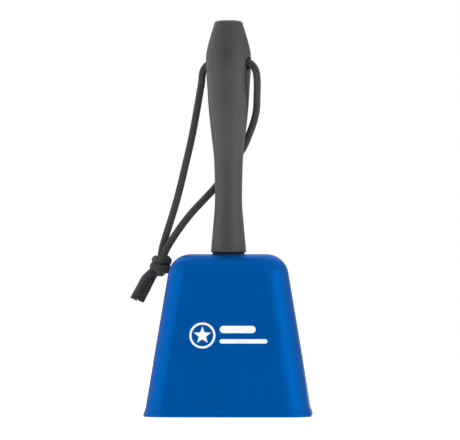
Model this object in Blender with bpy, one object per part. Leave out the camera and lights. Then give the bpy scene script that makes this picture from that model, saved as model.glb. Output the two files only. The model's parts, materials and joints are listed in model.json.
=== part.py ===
"""Hand-held cheer cowbell: a drawn steel bell on a moulded handle, with a swinging clapper and a cord loop.

Frame: metres, +Z up. The origin is the centre of the bell's mouth, on the surface that the bell stands on.
The broad front of the bell faces -Y. Run it with blender --background --python part.py.
"""

import math

import bmesh
import bpy
from mathutils import Matrix, Vector

# Clearance between pieces that touch on the real object.
GAP = 0.0003

# Cutters pass right through what they cut. Small round pieces share one number of sides.
CUTTER_LENGTH = 0.040
SIDES = 32

# Bell: one drawn steel shell. Its section is a rounded rectangle that narrows from mouth to top.
BELL_HEIGHT = 0.0970
SHEET = 0.0010
FOOT_Z = 0.0084
FOOT_HALF_WIDTH = 0.0485
FOOT_HALF_DEPTH = 0.0330
FOOT_CORNER = 0.0150
SIDE_TAPER = math.radians(9.3)
FRONT_TAPER = math.radians(7.0)
SHOULDER_RADIUS = 0.0135
TOP_CORNER = 0.0004
CORNER_STEPS = 9
SHOULDER_STEPS = 7

# Lip: the wall flares a little and ends in a flat-bottomed hem, thicker than the sheet.
LIP_FLARE_Z = 0.0050
HEM_REACH = 0.0006
HEM_HEIGHT = 0.0020
HEM_INNER_REACH = 0.0010
HEM_ROUND = 0.0007
HEM_STEPS = 4
LIP_SHARE_HALF_WAY = 0.35

# Handle: a turned grip with a waist, a swell near its end, and a cross hole for the cord.
GASKET_THICKNESS = 0.0003
GASKET_RADIUS = 0.0096
HANDLE_FOOT_Z = BELL_HEIGHT + GASKET_THICKNESS + 2.0 * GAP
HANDLE_TOP_Z = 0.2379
HANDLE_FOOT_RADIUS = 0.01056
HANDLE_FOOT_ROUND = 0.0010
HANDLE_CROWN_ROUND = 0.0024
HANDLE_DOME_RADIUS = 0.0030
HANDLE_DOME_RISE = 0.0004
HANDLE_SEGMENTS = 40
HANDLE_CURVE = [
    (0.01056, 0.0992),
    (0.00931, 0.1128),
    (0.00818, 0.1270),
    (0.00825, 0.1420),
    (0.00880, 0.1560),
    (0.01040, 0.1704),
    (0.01190, 0.1848),
    (0.01280, 0.1990),
    (0.01355, 0.2110),
    (0.01335, 0.2175),
    (0.01190, 0.2244),
    (0.00980, 0.2316),
    (0.00870, 0.2348),
]
CROSS_HOLE_RADIUS = 0.0039
CROSS_HOLE_Z = 0.2119
CROSS_HOLE_YAW = math.radians(-20.0)

# Fixing: an M5 screw passes up through the hanger and the bell into a brass insert in the grip.
SCREW_RADIUS = 0.0025
SCREW_CLEARANCE_RADIUS = 0.0028
SCREW_HEAD_RADIUS = 0.00475
SCREW_HEAD_HEIGHT = 0.0028
SCREW_HEAD_ROUND = 0.0014
SCREW_TIP_Z = 0.1085
SCREW_TIP_BEVEL = 0.0006
RECESS_WIDTH = 0.0011
RECESS_SPAN = 0.0046
RECESS_DEPTH = 0.0016
INSERT_RADIUS = 0.0037
INSERT_BORE_RADIUS = 0.00285
INSERT_LENGTH = 0.0115
INSERT_EDGE = 0.0004
INSERT_POCKET_DEPTH = 0.0130
WASHER_RADIUS = 0.0050
WASHER_THICKNESS = 0.0010
WASHER_EDGE = 0.0001
SPRING_WASHER_RADIUS = 0.0046
SPRING_WASHER_THICKNESS = 0.0011
SPRING_WASHER_RISE = 0.0002
SPRING_WASHER_SPLIT = math.radians(9.0)

# Clapper hanger: a strap bent to an upside-down U, with a rivet across its legs.
STRAP = 0.0015
HANGER_HALF_SPAN = 0.0075
HANGER_HALF_DEPTH = 0.0050
HANGER_BEND = 0.0010
HANGER_TOP_Z = BELL_HEIGHT - SHEET - GAP
LEG_END_BELOW_PIN = 0.0050
LEG_END_ROUND = 0.0040
PIN_Z = 0.0820
PIN_RADIUS = 0.0015
PIN_HEAD_RADIUS = 0.0028
PIN_HEAD_HEIGHT = 0.0012

# Clapper: a wire ring on the rivet, a rod whose eye holds the ring, and a drilled steel ball.
WIRE_RADIUS = 0.00125
RING_RADIUS = 0.0060
RING_CENTRE_Z = PIN_Z - (RING_RADIUS - WIRE_RADIUS - PIN_RADIUS - GAP)
SWING_Z = RING_CENTRE_Z - RING_RADIUS
EYE_RADIUS = 0.00315
EYE_DROP = 0.0003
EYE_START = -48.0
EYE_END = 228.0
ROD_NECK = [
    (-0.00075, -0.00400),
    (-0.00010, -0.00560),
    (0.00000, -0.00800),
    (0.00000, -0.02000),
]
BALL_RADIUS = 0.0090
BALL_Z = 0.0240
BALL_HOLE_RADIUS = 0.0016
BALL_HOLE_DEPTH = 0.0060

# Cord: one braided loop through the cross hole, knotted beside the bell's shoulder, with two tails.
CORD_RADIUS = 0.0021
CORD_POINT_SPACING = 0.0041
KNOT_CENTRE = Vector((-0.0418, 0.0154, 0.0902))
KNOT_HALF_SIZE = Vector((0.0066, 0.0060, 0.0063))
LEFT_STRAND = [
    (-0.0411, 0.0178, 0.0984),
    (-0.0404, 0.0179, 0.1018),
    (-0.0393, 0.0172, 0.1055),
    (-0.0374, 0.0158, 0.1115),
    (-0.0350, 0.0147, 0.1188),
    (-0.0317, 0.0136, 0.1297),
    (-0.0289, 0.0126, 0.1405),
    (-0.0263, 0.0117, 0.1514),
    (-0.0237, 0.0109, 0.1623),
    (-0.0214, 0.0101, 0.1731),
    (-0.0194, 0.0093, 0.1840),
    (-0.0175, 0.0083, 0.1948),
    (-0.0165, 0.0070, 0.2005),
]
HOLE_SPAN = [
    (-0.0161, 0.0061, 0.2042),
    (-0.01575, 0.0059, 0.2066),
    (-0.01485, 0.0055, 0.20875),
    (-0.0132, 0.0048, 0.2107),
    (-0.0113, 0.0041, 0.2120),
    (-0.0090, 0.0033, 0.2129),
    (-0.0062, 0.0023, 0.2133),
    (0.0000, 0.0000, 0.2134),
    (0.0062, -0.0023, 0.2134),
    (0.0086, -0.0031, 0.2132),
    (0.0108, -0.0039, 0.2128),
    (0.0129, -0.0047, 0.2119),
    (0.01475, -0.0053, 0.2104),
    (0.0160, -0.0058, 0.2086),
    (0.0168, -0.0061, 0.2065),
]
RIGHT_STRAND = [
    (0.0172, -0.0061, 0.2041),
    (0.0174, -0.0055, 0.2013),
    (0.0174, -0.0036, 0.1974),
    (0.0171, 0.0008, 0.1911),
    (0.0166, 0.0048, 0.1837),
    (0.0149, 0.0076, 0.1766),
    (0.0122, 0.0098, 0.1694),
    (0.0091, 0.0115, 0.1622),
    (0.0050, 0.0125, 0.1556),
    (0.0002, 0.0127, 0.1488),
    (-0.0045, 0.0121, 0.1424),
    (-0.0087, 0.0114, 0.1369),
    (-0.0155, 0.0109, 0.1296),
    (-0.0222, 0.0110, 0.1224),
    (-0.0280, 0.0114, 0.1152),
    (-0.0331, 0.0119, 0.1079),
    (-0.0369, 0.0121, 0.1019),
    (-0.0388, 0.0125, 0.0982),
]
FRONT_TAIL = [
    (-0.0479, 0.0122, 0.0855),
    (-0.0496, 0.0122, 0.0838),
    (-0.0510, 0.0123, 0.0824),
    (-0.0520, 0.0124, 0.0808),
    (-0.0538, 0.0126, 0.0773),
    (-0.0560, 0.0128, 0.0734),
    (-0.0580, 0.0128, 0.0696),
]
BACK_TAIL = [
    (-0.0468, 0.0170, 0.0826),
    (-0.0485, 0.0158, 0.0792),
    (-0.0502, 0.0154, 0.0756),
    (-0.0522, 0.0153, 0.0718),
    (-0.0539, 0.0154, 0.0683),
]

SMOOTH_ANGLE = math.radians(35.0)


def clear_scene():
    """Remove every object that the scene starts with."""
    for obj in list(bpy.data.objects):
        bpy.data.objects.remove(obj, do_unlink=True)


def make_material(name, colour, roughness, metallic):
    """Return a Principled BSDF material with a linear RGB colour."""
    material = bpy.data.materials.new(name)
    material.use_nodes = True
    shader = material.node_tree.nodes["Principled BSDF"]
    shader.inputs["Base Color"].default_value = (*colour, 1.0)
    shader.inputs["Roughness"].default_value = roughness
    shader.inputs["Metallic"].default_value = metallic
    material.diffuse_color = (*colour, 1.0)
    return material


def bell_paint():
    return make_material("bell_paint", (0.001, 0.084, 0.328), 0.35, 0.1)


def grip_plastic():
    return make_material("grip_plastic", (0.070, 0.070, 0.068), 0.45, 0.0)


def gasket_rubber():
    return make_material("gasket_rubber", (0.012, 0.012, 0.014), 0.70, 0.0)


def brass():
    return make_material("brass", (0.60, 0.42, 0.16), 0.30, 1.0)


def zinc_steel():
    return make_material("zinc_steel", (0.56, 0.57, 0.58), 0.32, 1.0)


def clapper_steel():
    return make_material("clapper_steel", (0.50, 0.50, 0.51), 0.22, 1.0)


def cord_fibre():
    return make_material("cord_fibre", (0.045, 0.045, 0.043), 0.85, 0.0)


def add_object(name, data, material, location=(0.0, 0.0, 0.0), parent=None):
    """Link an object at a world location. A parent here is only ever moved, never turned or scaled."""
    obj = bpy.data.objects.new(name, data)
    bpy.context.scene.collection.objects.link(obj)
    data.materials.append(material)
    obj.location = location
    if parent is not None:
        obj.parent = parent
        obj.location = Vector(location) - parent.matrix_world.translation
    return obj


def add_pivot(name, location, parent=None):
    """Add an empty on a joint's axis."""
    pivot = bpy.data.objects.new(name, None)
    bpy.context.scene.collection.objects.link(pivot)
    pivot.location = location
    if parent is not None:
        pivot.parent = parent
        pivot.location = Vector(location) - parent.matrix_world.translation
    bpy.context.view_layer.update()
    return pivot


def finish_mesh(name, mesh_data):
    """Turn a bmesh into a mesh with its faces pointing out and its round faces shaded smooth."""
    bmesh.ops.recalc_face_normals(mesh_data, faces=mesh_data.faces)
    mesh = bpy.data.meshes.new(name)
    mesh_data.to_mesh(mesh)
    mesh_data.free()
    mesh.shade_smooth()
    mesh.set_sharp_from_angle(angle=SMOOTH_ANGLE)
    return mesh


def skin_rings(name, rings, joined):
    """Skin rings of equal length. Joined rings close on themselves, others are capped at both ends."""
    mesh_data = bmesh.new()
    loops = [[mesh_data.verts.new(point) for point in ring] for ring in rings]
    pairs = list(zip(loops, loops[1:]))
    if joined:
        pairs.append((loops[-1], loops[0]))
    for lower, upper in pairs:
        for index in range(len(lower)):
            after = (index + 1) % len(lower)
            mesh_data.faces.new((lower[index], lower[after], upper[after], upper[index]))
    if not joined:
        mesh_data.faces.new(loops[0])
        mesh_data.faces.new(loops[-1])
    return finish_mesh(name, mesh_data)


def turn_profile(name, profile, segments, joined=False):
    """Turn (radius, height) points about Z."""
    rings = []
    for radius, height in profile:
        steps = [2.0 * math.pi * index / segments for index in range(segments)]
        rings.append([Vector((radius * math.cos(a), radius * math.sin(a), height)) for a in steps])
    return skin_rings(name, rings, joined)


def arc(centre, radius, start, end, steps):
    """Points on a circle in the plane, from the start angle to the end angle, both in degrees."""
    angles = [math.radians(start + (end - start) * index / steps) for index in range(steps + 1)]
    return [(centre[0] + radius * math.cos(a), centre[1] + radius * math.sin(a)) for a in angles]


def smooth_curve(points, steps):
    """Centripetal Catmull-Rom curve through the points, with this many steps between each two."""
    knots = [Vector(point) for point in points]
    padded = [2.0 * knots[0] - knots[1], *knots, 2.0 * knots[-1] - knots[-2]]
    curve = []
    for before, start, end, after in zip(padded, padded[1:], padded[2:], padded[3:]):
        times = [0.0]
        for first, second in ((before, start), (start, end), (end, after)):
            times.append(times[-1] + math.sqrt((second - first).length))
        for step in range(steps):
            t = times[1] + (times[2] - times[1]) * step / steps
            low = before.lerp(start, (t - times[0]) / (times[1] - times[0]))
            middle = start.lerp(end, (t - times[1]) / (times[2] - times[1]))
            high = end.lerp(after, (t - times[2]) / (times[3] - times[2]))
            first = low.lerp(middle, (t - times[0]) / (times[2] - times[0]))
            second = middle.lerp(high, (t - times[1]) / (times[3] - times[1]))
            curve.append(first.lerp(second, (t - times[1]) / (times[2] - times[1])))
    curve.append(knots[-1])
    return curve


def even_points(curve, spacing):
    """Points along a curve at even steps of about the given spacing, both ends included."""
    lengths = [0.0]
    for first, second in zip(curve, curve[1:]):
        lengths.append(lengths[-1] + (second - first).length)
    count = max(2, round(lengths[-1] / spacing))
    points = []
    place = 0
    for index in range(count + 1):
        wanted = lengths[-1] * index / count
        while place < len(curve) - 2 and lengths[place + 1] < wanted:
            place += 1
        stretch = lengths[place + 1] - lengths[place]
        points.append(curve[place].lerp(curve[place + 1], (wanted - lengths[place]) / stretch))
    return points


def tube(name, points, radius, material, location=(0.0, 0.0, 0.0), parent=None):
    """A capped tube along points that are given from the object's own origin."""
    curve = bpy.data.curves.new(name, "CURVE")
    curve.dimensions = "3D"
    curve.bevel_depth = radius
    curve.bevel_resolution = 2
    curve.use_fill_caps = True
    spline = curve.splines.new("POLY")
    spline.points.add(len(points) - 1)
    for place, point in zip(spline.points, points):
        place.co = (*point, 1.0)
    return add_object(name, curve, material, location, parent)


def cylinder_cutter(name, radius, length, centre, direction, material):
    """A hidden cylinder, centred on a point and lying along a direction."""
    mesh_data = bmesh.new()
    turn = Vector((0.0, 0.0, 1.0)).rotation_difference(Vector(direction)).to_matrix().to_4x4()
    bmesh.ops.create_cone(
        mesh_data, cap_ends=True, segments=SIDES, radius1=radius, radius2=radius, depth=length,
        matrix=turn,
    )
    return hide_cutter(add_object(name, finish_mesh(name, mesh_data), material, centre))


def screw_hole_cutter(name, height, material):
    """Cutter for the screw's clearance hole through the sheet at this height."""
    centre = (0.0, 0.0, height)
    return cylinder_cutter(name, SCREW_CLEARANCE_RADIUS, CUTTER_LENGTH, centre, (0, 0, 1), material)


def box_cutter(name, size, centre, material):
    """A hidden box of the given size about a centre."""
    mesh_data = bmesh.new()
    bmesh.ops.create_cube(mesh_data, size=1.0, matrix=Matrix.Diagonal((*size, 1.0)))
    return hide_cutter(add_object(name, finish_mesh(name, mesh_data), material, centre))


def hide_cutter(cutter):
    cutter.hide_render = True
    cutter.display_type = "WIRE"
    return cutter


def cut(obj, cutter):
    """Take the cutter's shape out of an object."""
    modifier = obj.modifiers.new(cutter.name, "BOOLEAN")
    modifier.operation = "DIFFERENCE"
    modifier.solver = "EXACT"
    modifier.object = cutter


def rounded_section(height, half_width, half_depth, corner):
    """A rounded rectangle at one height, counter-clockwise from above."""
    centres = [
        (half_width - corner, half_depth - corner),
        (corner - half_width, half_depth - corner),
        (corner - half_width, corner - half_depth),
        (half_width - corner, corner - half_depth),
    ]
    ring = []
    for quarter, centre in enumerate(centres):
        start = 90.0 * quarter
        ring += arc(centre, corner, start, start + 90.0, CORNER_STEPS)
    return [Vector((x, y, height)) for x, y in ring]


def shoulder_start():
    """Height where the shoulder's round leaves the tapered side."""
    return BELL_HEIGHT - SHOULDER_RADIUS * (1.0 - math.sin(SIDE_TAPER))


def wall_section(height, offset):
    """Section of the tapered wall, moved outwards by the offset."""
    rise = height - FOOT_Z
    shoulder_corner = TOP_CORNER + SHOULDER_RADIUS * math.cos(SIDE_TAPER)
    share = rise / (shoulder_start() - FOOT_Z)
    half_width = FOOT_HALF_WIDTH - rise * math.tan(SIDE_TAPER) + offset
    half_depth = FOOT_HALF_DEPTH - rise * math.tan(FRONT_TAPER) + offset
    corner = FOOT_CORNER + (shoulder_corner - FOOT_CORNER) * share + offset
    return rounded_section(height, half_width, half_depth, corner)


def shoulder_rings(radius):
    """Rings of the rounded shoulder, from the wall up to the edge of the flat top."""
    reach = SHOULDER_RADIUS * math.cos(SIDE_TAPER)
    rise = shoulder_start() - FOOT_Z
    flat_half_width = FOOT_HALF_WIDTH - rise * math.tan(SIDE_TAPER) - reach
    flat_half_depth = FOOT_HALF_DEPTH - rise * math.tan(FRONT_TAPER) - reach
    centre_z = BELL_HEIGHT - SHOULDER_RADIUS
    rings = []
    for step in range(SHOULDER_STEPS + 1):
        angle = SIDE_TAPER + (math.pi / 2.0 - SIDE_TAPER) * step / SHOULDER_STEPS
        offset = radius * math.cos(angle)
        rings.append(rounded_section(
            centre_z + radius * math.sin(angle),
            flat_half_width + offset,
            flat_half_depth + offset,
            TOP_CORNER + offset,
        ))
    return rings


def lip_rings():
    """Rings of the flared lip and rolled hem, from the outer wall round to the inner wall."""
    outer = arc((HEM_REACH - HEM_ROUND, HEM_ROUND), HEM_ROUND, 0.0, -90.0, HEM_STEPS)
    inner = arc((HEM_ROUND - SHEET - HEM_INNER_REACH, HEM_ROUND), HEM_ROUND, -90.0, -180.0, HEM_STEPS)
    middle_z = 0.5 * (LIP_FLARE_Z + HEM_HEIGHT)
    flare = [(0.0, LIP_FLARE_Z), (LIP_SHARE_HALF_WAY * HEM_REACH, middle_z), (HEM_REACH, HEM_HEIGHT)]
    fold = [(-SHEET - HEM_INNER_REACH, HEM_HEIGHT), (-SHEET, middle_z)]
    return [wall_section(height, offset) for offset, height in flare + outer + inner + fold]


def build_bell(material, hidden):
    outer = [*reversed(shoulder_rings(SHOULDER_RADIUS)), wall_section(FOOT_Z, 0.0)]
    inner = [wall_section(FOOT_Z, -SHEET), *shoulder_rings(SHOULDER_RADIUS - SHEET)]
    mesh = skin_rings("bell_shell", outer + lip_rings() + inner, joined=False)
    bell = add_object("bell_shell", mesh, material)
    cut(bell, screw_hole_cutter("bell_screw_hole", BELL_HEIGHT, hidden))


def washer_profile(radius, bore, low, high, edge=WASHER_EDGE):
    """Closed outline of a flat ring with slightly broken outer edges."""
    return [
        (bore, low),
        (radius - edge, low),
        (radius, low + edge),
        (radius, high - edge),
        (radius - edge, high),
        (bore, high),
    ]


def build_gasket(material):
    low = BELL_HEIGHT + GAP
    profile = washer_profile(GASKET_RADIUS, SCREW_CLEARANCE_RADIUS, low, low + GASKET_THICKNESS)
    add_object("base_gasket", turn_profile("base_gasket", profile, HANDLE_SEGMENTS, joined=True), material)


def handle_profile():
    """Outline of the grip from its foot to its crown."""
    round_centre = (HANDLE_FOOT_RADIUS - HANDLE_FOOT_ROUND, HANDLE_FOOT_Z + HANDLE_FOOT_ROUND)
    foot = arc(round_centre, HANDLE_FOOT_ROUND, -90.0, -18.0, 3)
    side = [(point.x, point.y) for point in smooth_curve([(r, z, 0.0) for r, z in HANDLE_CURVE], 2)]
    crown_radius = HANDLE_CURVE[-1][0] - HANDLE_CROWN_ROUND
    crown_z = HANDLE_TOP_Z - HANDLE_DOME_RISE - HANDLE_CROWN_ROUND
    crown = arc((crown_radius, crown_z), HANDLE_CROWN_ROUND, 22.5, 80.0, 3)
    return foot + side[:-1] + crown + [(HANDLE_DOME_RADIUS, HANDLE_TOP_Z)]


def build_handle(material, hidden):
    mesh = turn_profile("handle_grip", handle_profile(), HANDLE_SEGMENTS)
    handle = add_object("handle_grip", mesh, material)
    pocket_centre = (0.0, 0.0, HANDLE_FOOT_Z)
    cut(handle, cylinder_cutter(
        "insert_pocket", INSERT_RADIUS + GAP, 2.0 * INSERT_POCKET_DEPTH, pocket_centre, (0, 0, 1), hidden,
    ))
    across = (math.cos(CROSS_HOLE_YAW), math.sin(CROSS_HOLE_YAW), 0.0)
    cut(handle, cylinder_cutter(
        "cross_hole", CROSS_HOLE_RADIUS, CUTTER_LENGTH, (0.0, 0.0, CROSS_HOLE_Z), across, hidden,
    ))


def build_insert(material):
    low = HANDLE_FOOT_Z + GAP
    profile = washer_profile(INSERT_RADIUS, INSERT_BORE_RADIUS, low, low + INSERT_LENGTH, INSERT_EDGE)
    add_object("handle_insert", turn_profile("handle_insert", profile, SIDES, joined=True), material)


def hanger_underside():
    return HANGER_TOP_Z - STRAP


def washer_underside():
    return hanger_underside() - GAP - WASHER_THICKNESS


def spring_washer_underside():
    return washer_underside() - GAP - SPRING_WASHER_THICKNESS - SPRING_WASHER_RISE


def build_flat_washer(material):
    low = washer_underside()
    profile = washer_profile(WASHER_RADIUS, SCREW_CLEARANCE_RADIUS, low, low + WASHER_THICKNESS)
    add_object("flat_washer", turn_profile("flat_washer", profile, SIDES, joined=True), material)


def build_spring_washer(material):
    """A split washer: a rectangular section swept almost once round while it rises a little."""
    rings = []
    for step in range(SIDES + 1):
        share = step / SIDES
        angle = SPRING_WASHER_SPLIT / 2.0 + (2.0 * math.pi - SPRING_WASHER_SPLIT) * share
        low = spring_washer_underside() + SPRING_WASHER_RISE * share
        high = low + SPRING_WASHER_THICKNESS
        corners = [
            (SCREW_CLEARANCE_RADIUS, low),
            (SPRING_WASHER_RADIUS, low),
            (SPRING_WASHER_RADIUS, high),
            (SCREW_CLEARANCE_RADIUS, high),
        ]
        rings.append([Vector((r * math.cos(angle), r * math.sin(angle), z)) for r, z in corners])
    add_object("spring_washer", skin_rings("spring_washer", rings, joined=False), material)


def build_screw(material, hidden):
    """Pan-head screw with a cross recess in the head's underside."""
    bearing_z = spring_washer_underside() - GAP
    head_z = bearing_z - SCREW_HEAD_HEIGHT
    round_centre = (SCREW_HEAD_RADIUS - SCREW_HEAD_ROUND, head_z + SCREW_HEAD_ROUND)
    head = arc(round_centre, SCREW_HEAD_ROUND, -90.0, 0.0, 4)
    shank = [
        (SCREW_HEAD_RADIUS, bearing_z),
        (SCREW_RADIUS, bearing_z),
        (SCREW_RADIUS, SCREW_TIP_Z - SCREW_TIP_BEVEL),
        (SCREW_RADIUS - SCREW_TIP_BEVEL, SCREW_TIP_Z),
    ]
    screw = add_object("mounting_screw", turn_profile("mounting_screw", head + shank, SIDES), material)
    for name, size in (
        ("recess_across", (RECESS_SPAN, RECESS_WIDTH, 2.0 * RECESS_DEPTH)),
        ("recess_along", (RECESS_WIDTH, RECESS_SPAN, 2.0 * RECESS_DEPTH)),
    ):
        cut(screw, box_cutter(name, size, (0.0, 0.0, head_z), hidden))


def hanger_leg_end():
    return PIN_Z - LEG_END_BELOW_PIN


def hanger_outline():
    """Outline of the bent strap in the XZ plane, as (x, z) points."""
    outer_bend = HANGER_BEND + STRAP
    inner_half = HANGER_HALF_SPAN - STRAP
    outer = arc((HANGER_HALF_SPAN - outer_bend, HANGER_TOP_Z - outer_bend), outer_bend, 0.0, 90.0, 5)
    inner = arc((inner_half - HANGER_BEND, hanger_underside() - HANGER_BEND), HANGER_BEND, 90.0, 0.0, 5)
    right_outer = [(HANGER_HALF_SPAN, hanger_leg_end()), *outer]
    right_inner = [*inner, (inner_half, hanger_leg_end())]
    left_outer = [(-x, z) for x, z in reversed(right_outer)]
    left_inner = [(-x, z) for x, z in reversed(right_inner)]
    return right_outer + left_outer + left_inner + right_inner


def build_hanger(material, hidden):
    outline = hanger_outline()
    mesh_data = bmesh.new()
    front = [mesh_data.verts.new((x, -HANGER_HALF_DEPTH, z)) for x, z in outline]
    face = mesh_data.faces.new(front)
    moved = bmesh.ops.extrude_face_region(mesh_data, geom=[face])
    back = [item for item in moved["geom"] if isinstance(item, bmesh.types.BMVert)]
    bmesh.ops.translate(mesh_data, verts=back, vec=(0.0, 2.0 * HANGER_HALF_DEPTH, 0.0))
    same = 1e-6
    corners = [
        edge for edge in mesh_data.edges
        if all(abs(vert.co.z - hanger_leg_end()) < same for vert in edge.verts)
        and abs(edge.verts[0].co.y - edge.verts[1].co.y) < same
    ]
    bmesh.ops.bevel(
        mesh_data, geom=corners, offset=LEG_END_ROUND, offset_type="OFFSET", segments=6, profile=0.5,
        affect="EDGES",
    )
    hanger = add_object("clapper_hanger", finish_mesh("clapper_hanger", mesh_data), material)
    cut(hanger, screw_hole_cutter("hanger_screw_hole", HANGER_TOP_Z, hidden))
    cut(hanger, cylinder_cutter(
        "hanger_pin_hole", PIN_RADIUS + GAP, CUTTER_LENGTH, (0.0, 0.0, PIN_Z), (1, 0, 0), hidden,
    ))


def build_pin(material):
    """Rivet across the hanger's legs, with a domed head at each end."""
    shoulder = HANGER_HALF_SPAN + GAP
    dome = [(PIN_RADIUS, shoulder)]
    for across, height in arc((0.0, 0.0), 1.0, 0.0, 75.0, 4):
        dome.append((PIN_HEAD_RADIUS * across, shoulder + PIN_HEAD_HEIGHT * height))
    mirrored = [(radius, -height) for radius, height in reversed(dome)]
    mesh = turn_profile("hanger_pin", mirrored + dome, SIDES)
    mesh.transform(Matrix.Rotation(math.pi / 2.0, 4, "Y"))
    add_object("hanger_pin", mesh, material, (0.0, 0.0, PIN_Z))


def build_clapper_ring(material, pivot):
    """Round wire ring in the YZ plane, hanging on the rivet. Its origin is on the rivet's axis."""
    drop = RING_CENTRE_Z - PIN_Z
    rings = []
    for turn in range(SIDES):
        around = 2.0 * math.pi * turn / SIDES
        outwards = Vector((0.0, math.cos(around), math.sin(around)))
        section = arc((RING_RADIUS, 0.0), WIRE_RADIUS, 0.0, 330.0, 11)
        rings.append([outwards * r + Vector((side, 0.0, drop)) for r, side in section])
    mesh = skin_rings("clapper_ring", rings, joined=True)
    add_object("clapper_ring", mesh, material, pivot.matrix_world.translation, pivot)


def build_clapper_rod(material, pivot):
    """Wire rod with a bent eye round the ring. Its origin is on the eye's swing axis."""
    tip_z = BALL_Z + BALL_RADIUS - BALL_HOLE_DEPTH + GAP - SWING_Z
    points = [Vector((x, 0.0, z)) for x, z in arc((0.0, -EYE_DROP), EYE_RADIUS, EYE_START, EYE_END, 18)]
    neck = [Vector((x, 0.0, z)) for x, z in [*ROD_NECK, (0.0, tip_z)]]
    points += smooth_curve([points[-1], *neck], 3)[1:]
    tube("clapper_rod", points, WIRE_RADIUS, material, pivot.matrix_world.translation, pivot)


def build_clapper_ball(material, hidden, pivot):
    mesh_data = bmesh.new()
    bmesh.ops.create_uvsphere(mesh_data, u_segments=SIDES, v_segments=20, radius=BALL_RADIUS)
    centre = Vector((0.0, 0.0, BALL_Z))
    ball = add_object("clapper_ball", finish_mesh("clapper_ball", mesh_data), material, centre, pivot)
    top = centre + Vector((0.0, 0.0, BALL_RADIUS))
    cut(ball, cylinder_cutter(
        "ball_hole", BALL_HOLE_RADIUS, 2.0 * BALL_HOLE_DEPTH, top, (0, 0, 1), hidden,
    ))


def knot_surface(direction):
    """Point just off the knot's surface, on the way from its centre towards a direction."""
    unit = Vector(direction).normalized()
    scaled = Vector([unit[axis] / KNOT_HALF_SIZE[axis] for axis in range(3)])
    return KNOT_CENTRE + unit * (1.0 / scaled.length + GAP)


def build_knot(material):
    """Outer shape of the knot: a plain egg that the two strands and two tails meet."""
    mesh_data = bmesh.new()
    bmesh.ops.create_uvsphere(
        mesh_data, u_segments=24, v_segments=16, radius=1.0, matrix=Matrix.Diagonal((*KNOT_HALF_SIZE, 1.0)),
    )
    add_object("cord_knot", finish_mesh("cord_knot", mesh_data), material, KNOT_CENTRE)


def build_cord(material):
    left_end = knot_surface(Vector(LEFT_STRAND[0]) - KNOT_CENTRE)
    right_end = knot_surface(Vector(RIGHT_STRAND[-1]) - KNOT_CENTRE)
    route = [left_end, *LEFT_STRAND, *HOLE_SPAN, *RIGHT_STRAND, right_end]
    tube("cord_loop", even_points(smooth_curve(route, 12), CORD_POINT_SPACING), CORD_RADIUS, material)
    for name, tail in (("cord_tail_front", FRONT_TAIL), ("cord_tail_back", BACK_TAIL)):
        start = knot_surface(Vector(tail[0]) - KNOT_CENTRE)
        route = smooth_curve([start, *tail], 12)
        tube(name, even_points(route, CORD_POINT_SPACING), CORD_RADIUS, material)


def build():
    clear_scene()
    hidden = make_material("cutter", (0.5, 0.5, 0.5), 0.5, 0.0)
    steel = zinc_steel()
    clapper = clapper_steel()
    build_bell(bell_paint(), hidden)
    build_gasket(gasket_rubber())
    build_handle(grip_plastic(), hidden)
    build_insert(brass())
    build_hanger(steel, hidden)
    build_flat_washer(steel)
    build_spring_washer(steel)
    build_screw(steel, hidden)
    build_pin(steel)
    ring_pivot = add_pivot("ring_pivot", (0.0, 0.0, PIN_Z))
    clapper_pivot = add_pivot("clapper_pivot", (0.0, 0.0, SWING_Z), ring_pivot)
    build_clapper_ring(clapper, ring_pivot)
    build_clapper_rod(clapper, clapper_pivot)
    build_clapper_ball(clapper, hidden, clapper_pivot)
    fibre = cord_fibre()
    build_knot(fibre)
    build_cord(fibre)


build()
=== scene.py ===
import json
import math
import random

import bmesh
import bpy
import numpy as np
from mathutils import Matrix, Vector


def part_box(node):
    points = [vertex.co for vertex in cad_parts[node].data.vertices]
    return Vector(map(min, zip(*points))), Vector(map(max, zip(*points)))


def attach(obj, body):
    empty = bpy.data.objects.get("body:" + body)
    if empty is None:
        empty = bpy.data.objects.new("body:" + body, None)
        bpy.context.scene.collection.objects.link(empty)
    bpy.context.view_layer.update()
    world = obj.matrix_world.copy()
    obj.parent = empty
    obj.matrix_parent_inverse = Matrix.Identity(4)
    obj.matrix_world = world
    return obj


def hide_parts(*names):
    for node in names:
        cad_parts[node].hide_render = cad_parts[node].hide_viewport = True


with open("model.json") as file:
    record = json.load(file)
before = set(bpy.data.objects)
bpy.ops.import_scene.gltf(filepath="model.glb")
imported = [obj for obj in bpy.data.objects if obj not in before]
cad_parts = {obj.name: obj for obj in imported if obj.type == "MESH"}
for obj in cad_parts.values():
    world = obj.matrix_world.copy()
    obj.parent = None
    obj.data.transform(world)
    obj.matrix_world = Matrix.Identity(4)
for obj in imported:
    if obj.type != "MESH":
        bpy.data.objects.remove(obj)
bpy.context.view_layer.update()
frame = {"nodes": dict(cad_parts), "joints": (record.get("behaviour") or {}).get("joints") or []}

MM = 0.001

# Bell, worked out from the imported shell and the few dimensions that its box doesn't give.
shell_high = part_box("bell_shell")[1]
BELL_HEIGHT = shell_high.z
SHEET = 1.0 * MM
FOOT_Z = 8.4 * MM
SIDE_TAPER = math.radians(9.3)
FRONT_TAPER = math.radians(7.0)
HEM_REACH = 0.6 * MM
HEM_INNER_REACH = 1.0 * MM
HEM_HEIGHT = 2.0 * MM
HEM_ROUND = 0.7 * MM
FLARE_Z = 5.0 * MM
HEM_TOP_DROP = FOOT_Z - HEM_ROUND
FOOT_HALF_WIDTH = shell_high.x - HEM_REACH - HEM_TOP_DROP * math.tan(SIDE_TAPER)
FOOT_HALF_DEPTH = shell_high.y - HEM_REACH - HEM_TOP_DROP * math.tan(FRONT_TAPER)
FOOT_CORNER = 15.0 * MM
TOP_CORNER = 0.4 * MM
SHOULDER_RADIUS = 13.5 * MM
CORNER_STEPS = 22
EDGE_STEPS = 8
SHOULDER_STEPS = 18
WALL_STEPS = 24
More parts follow.
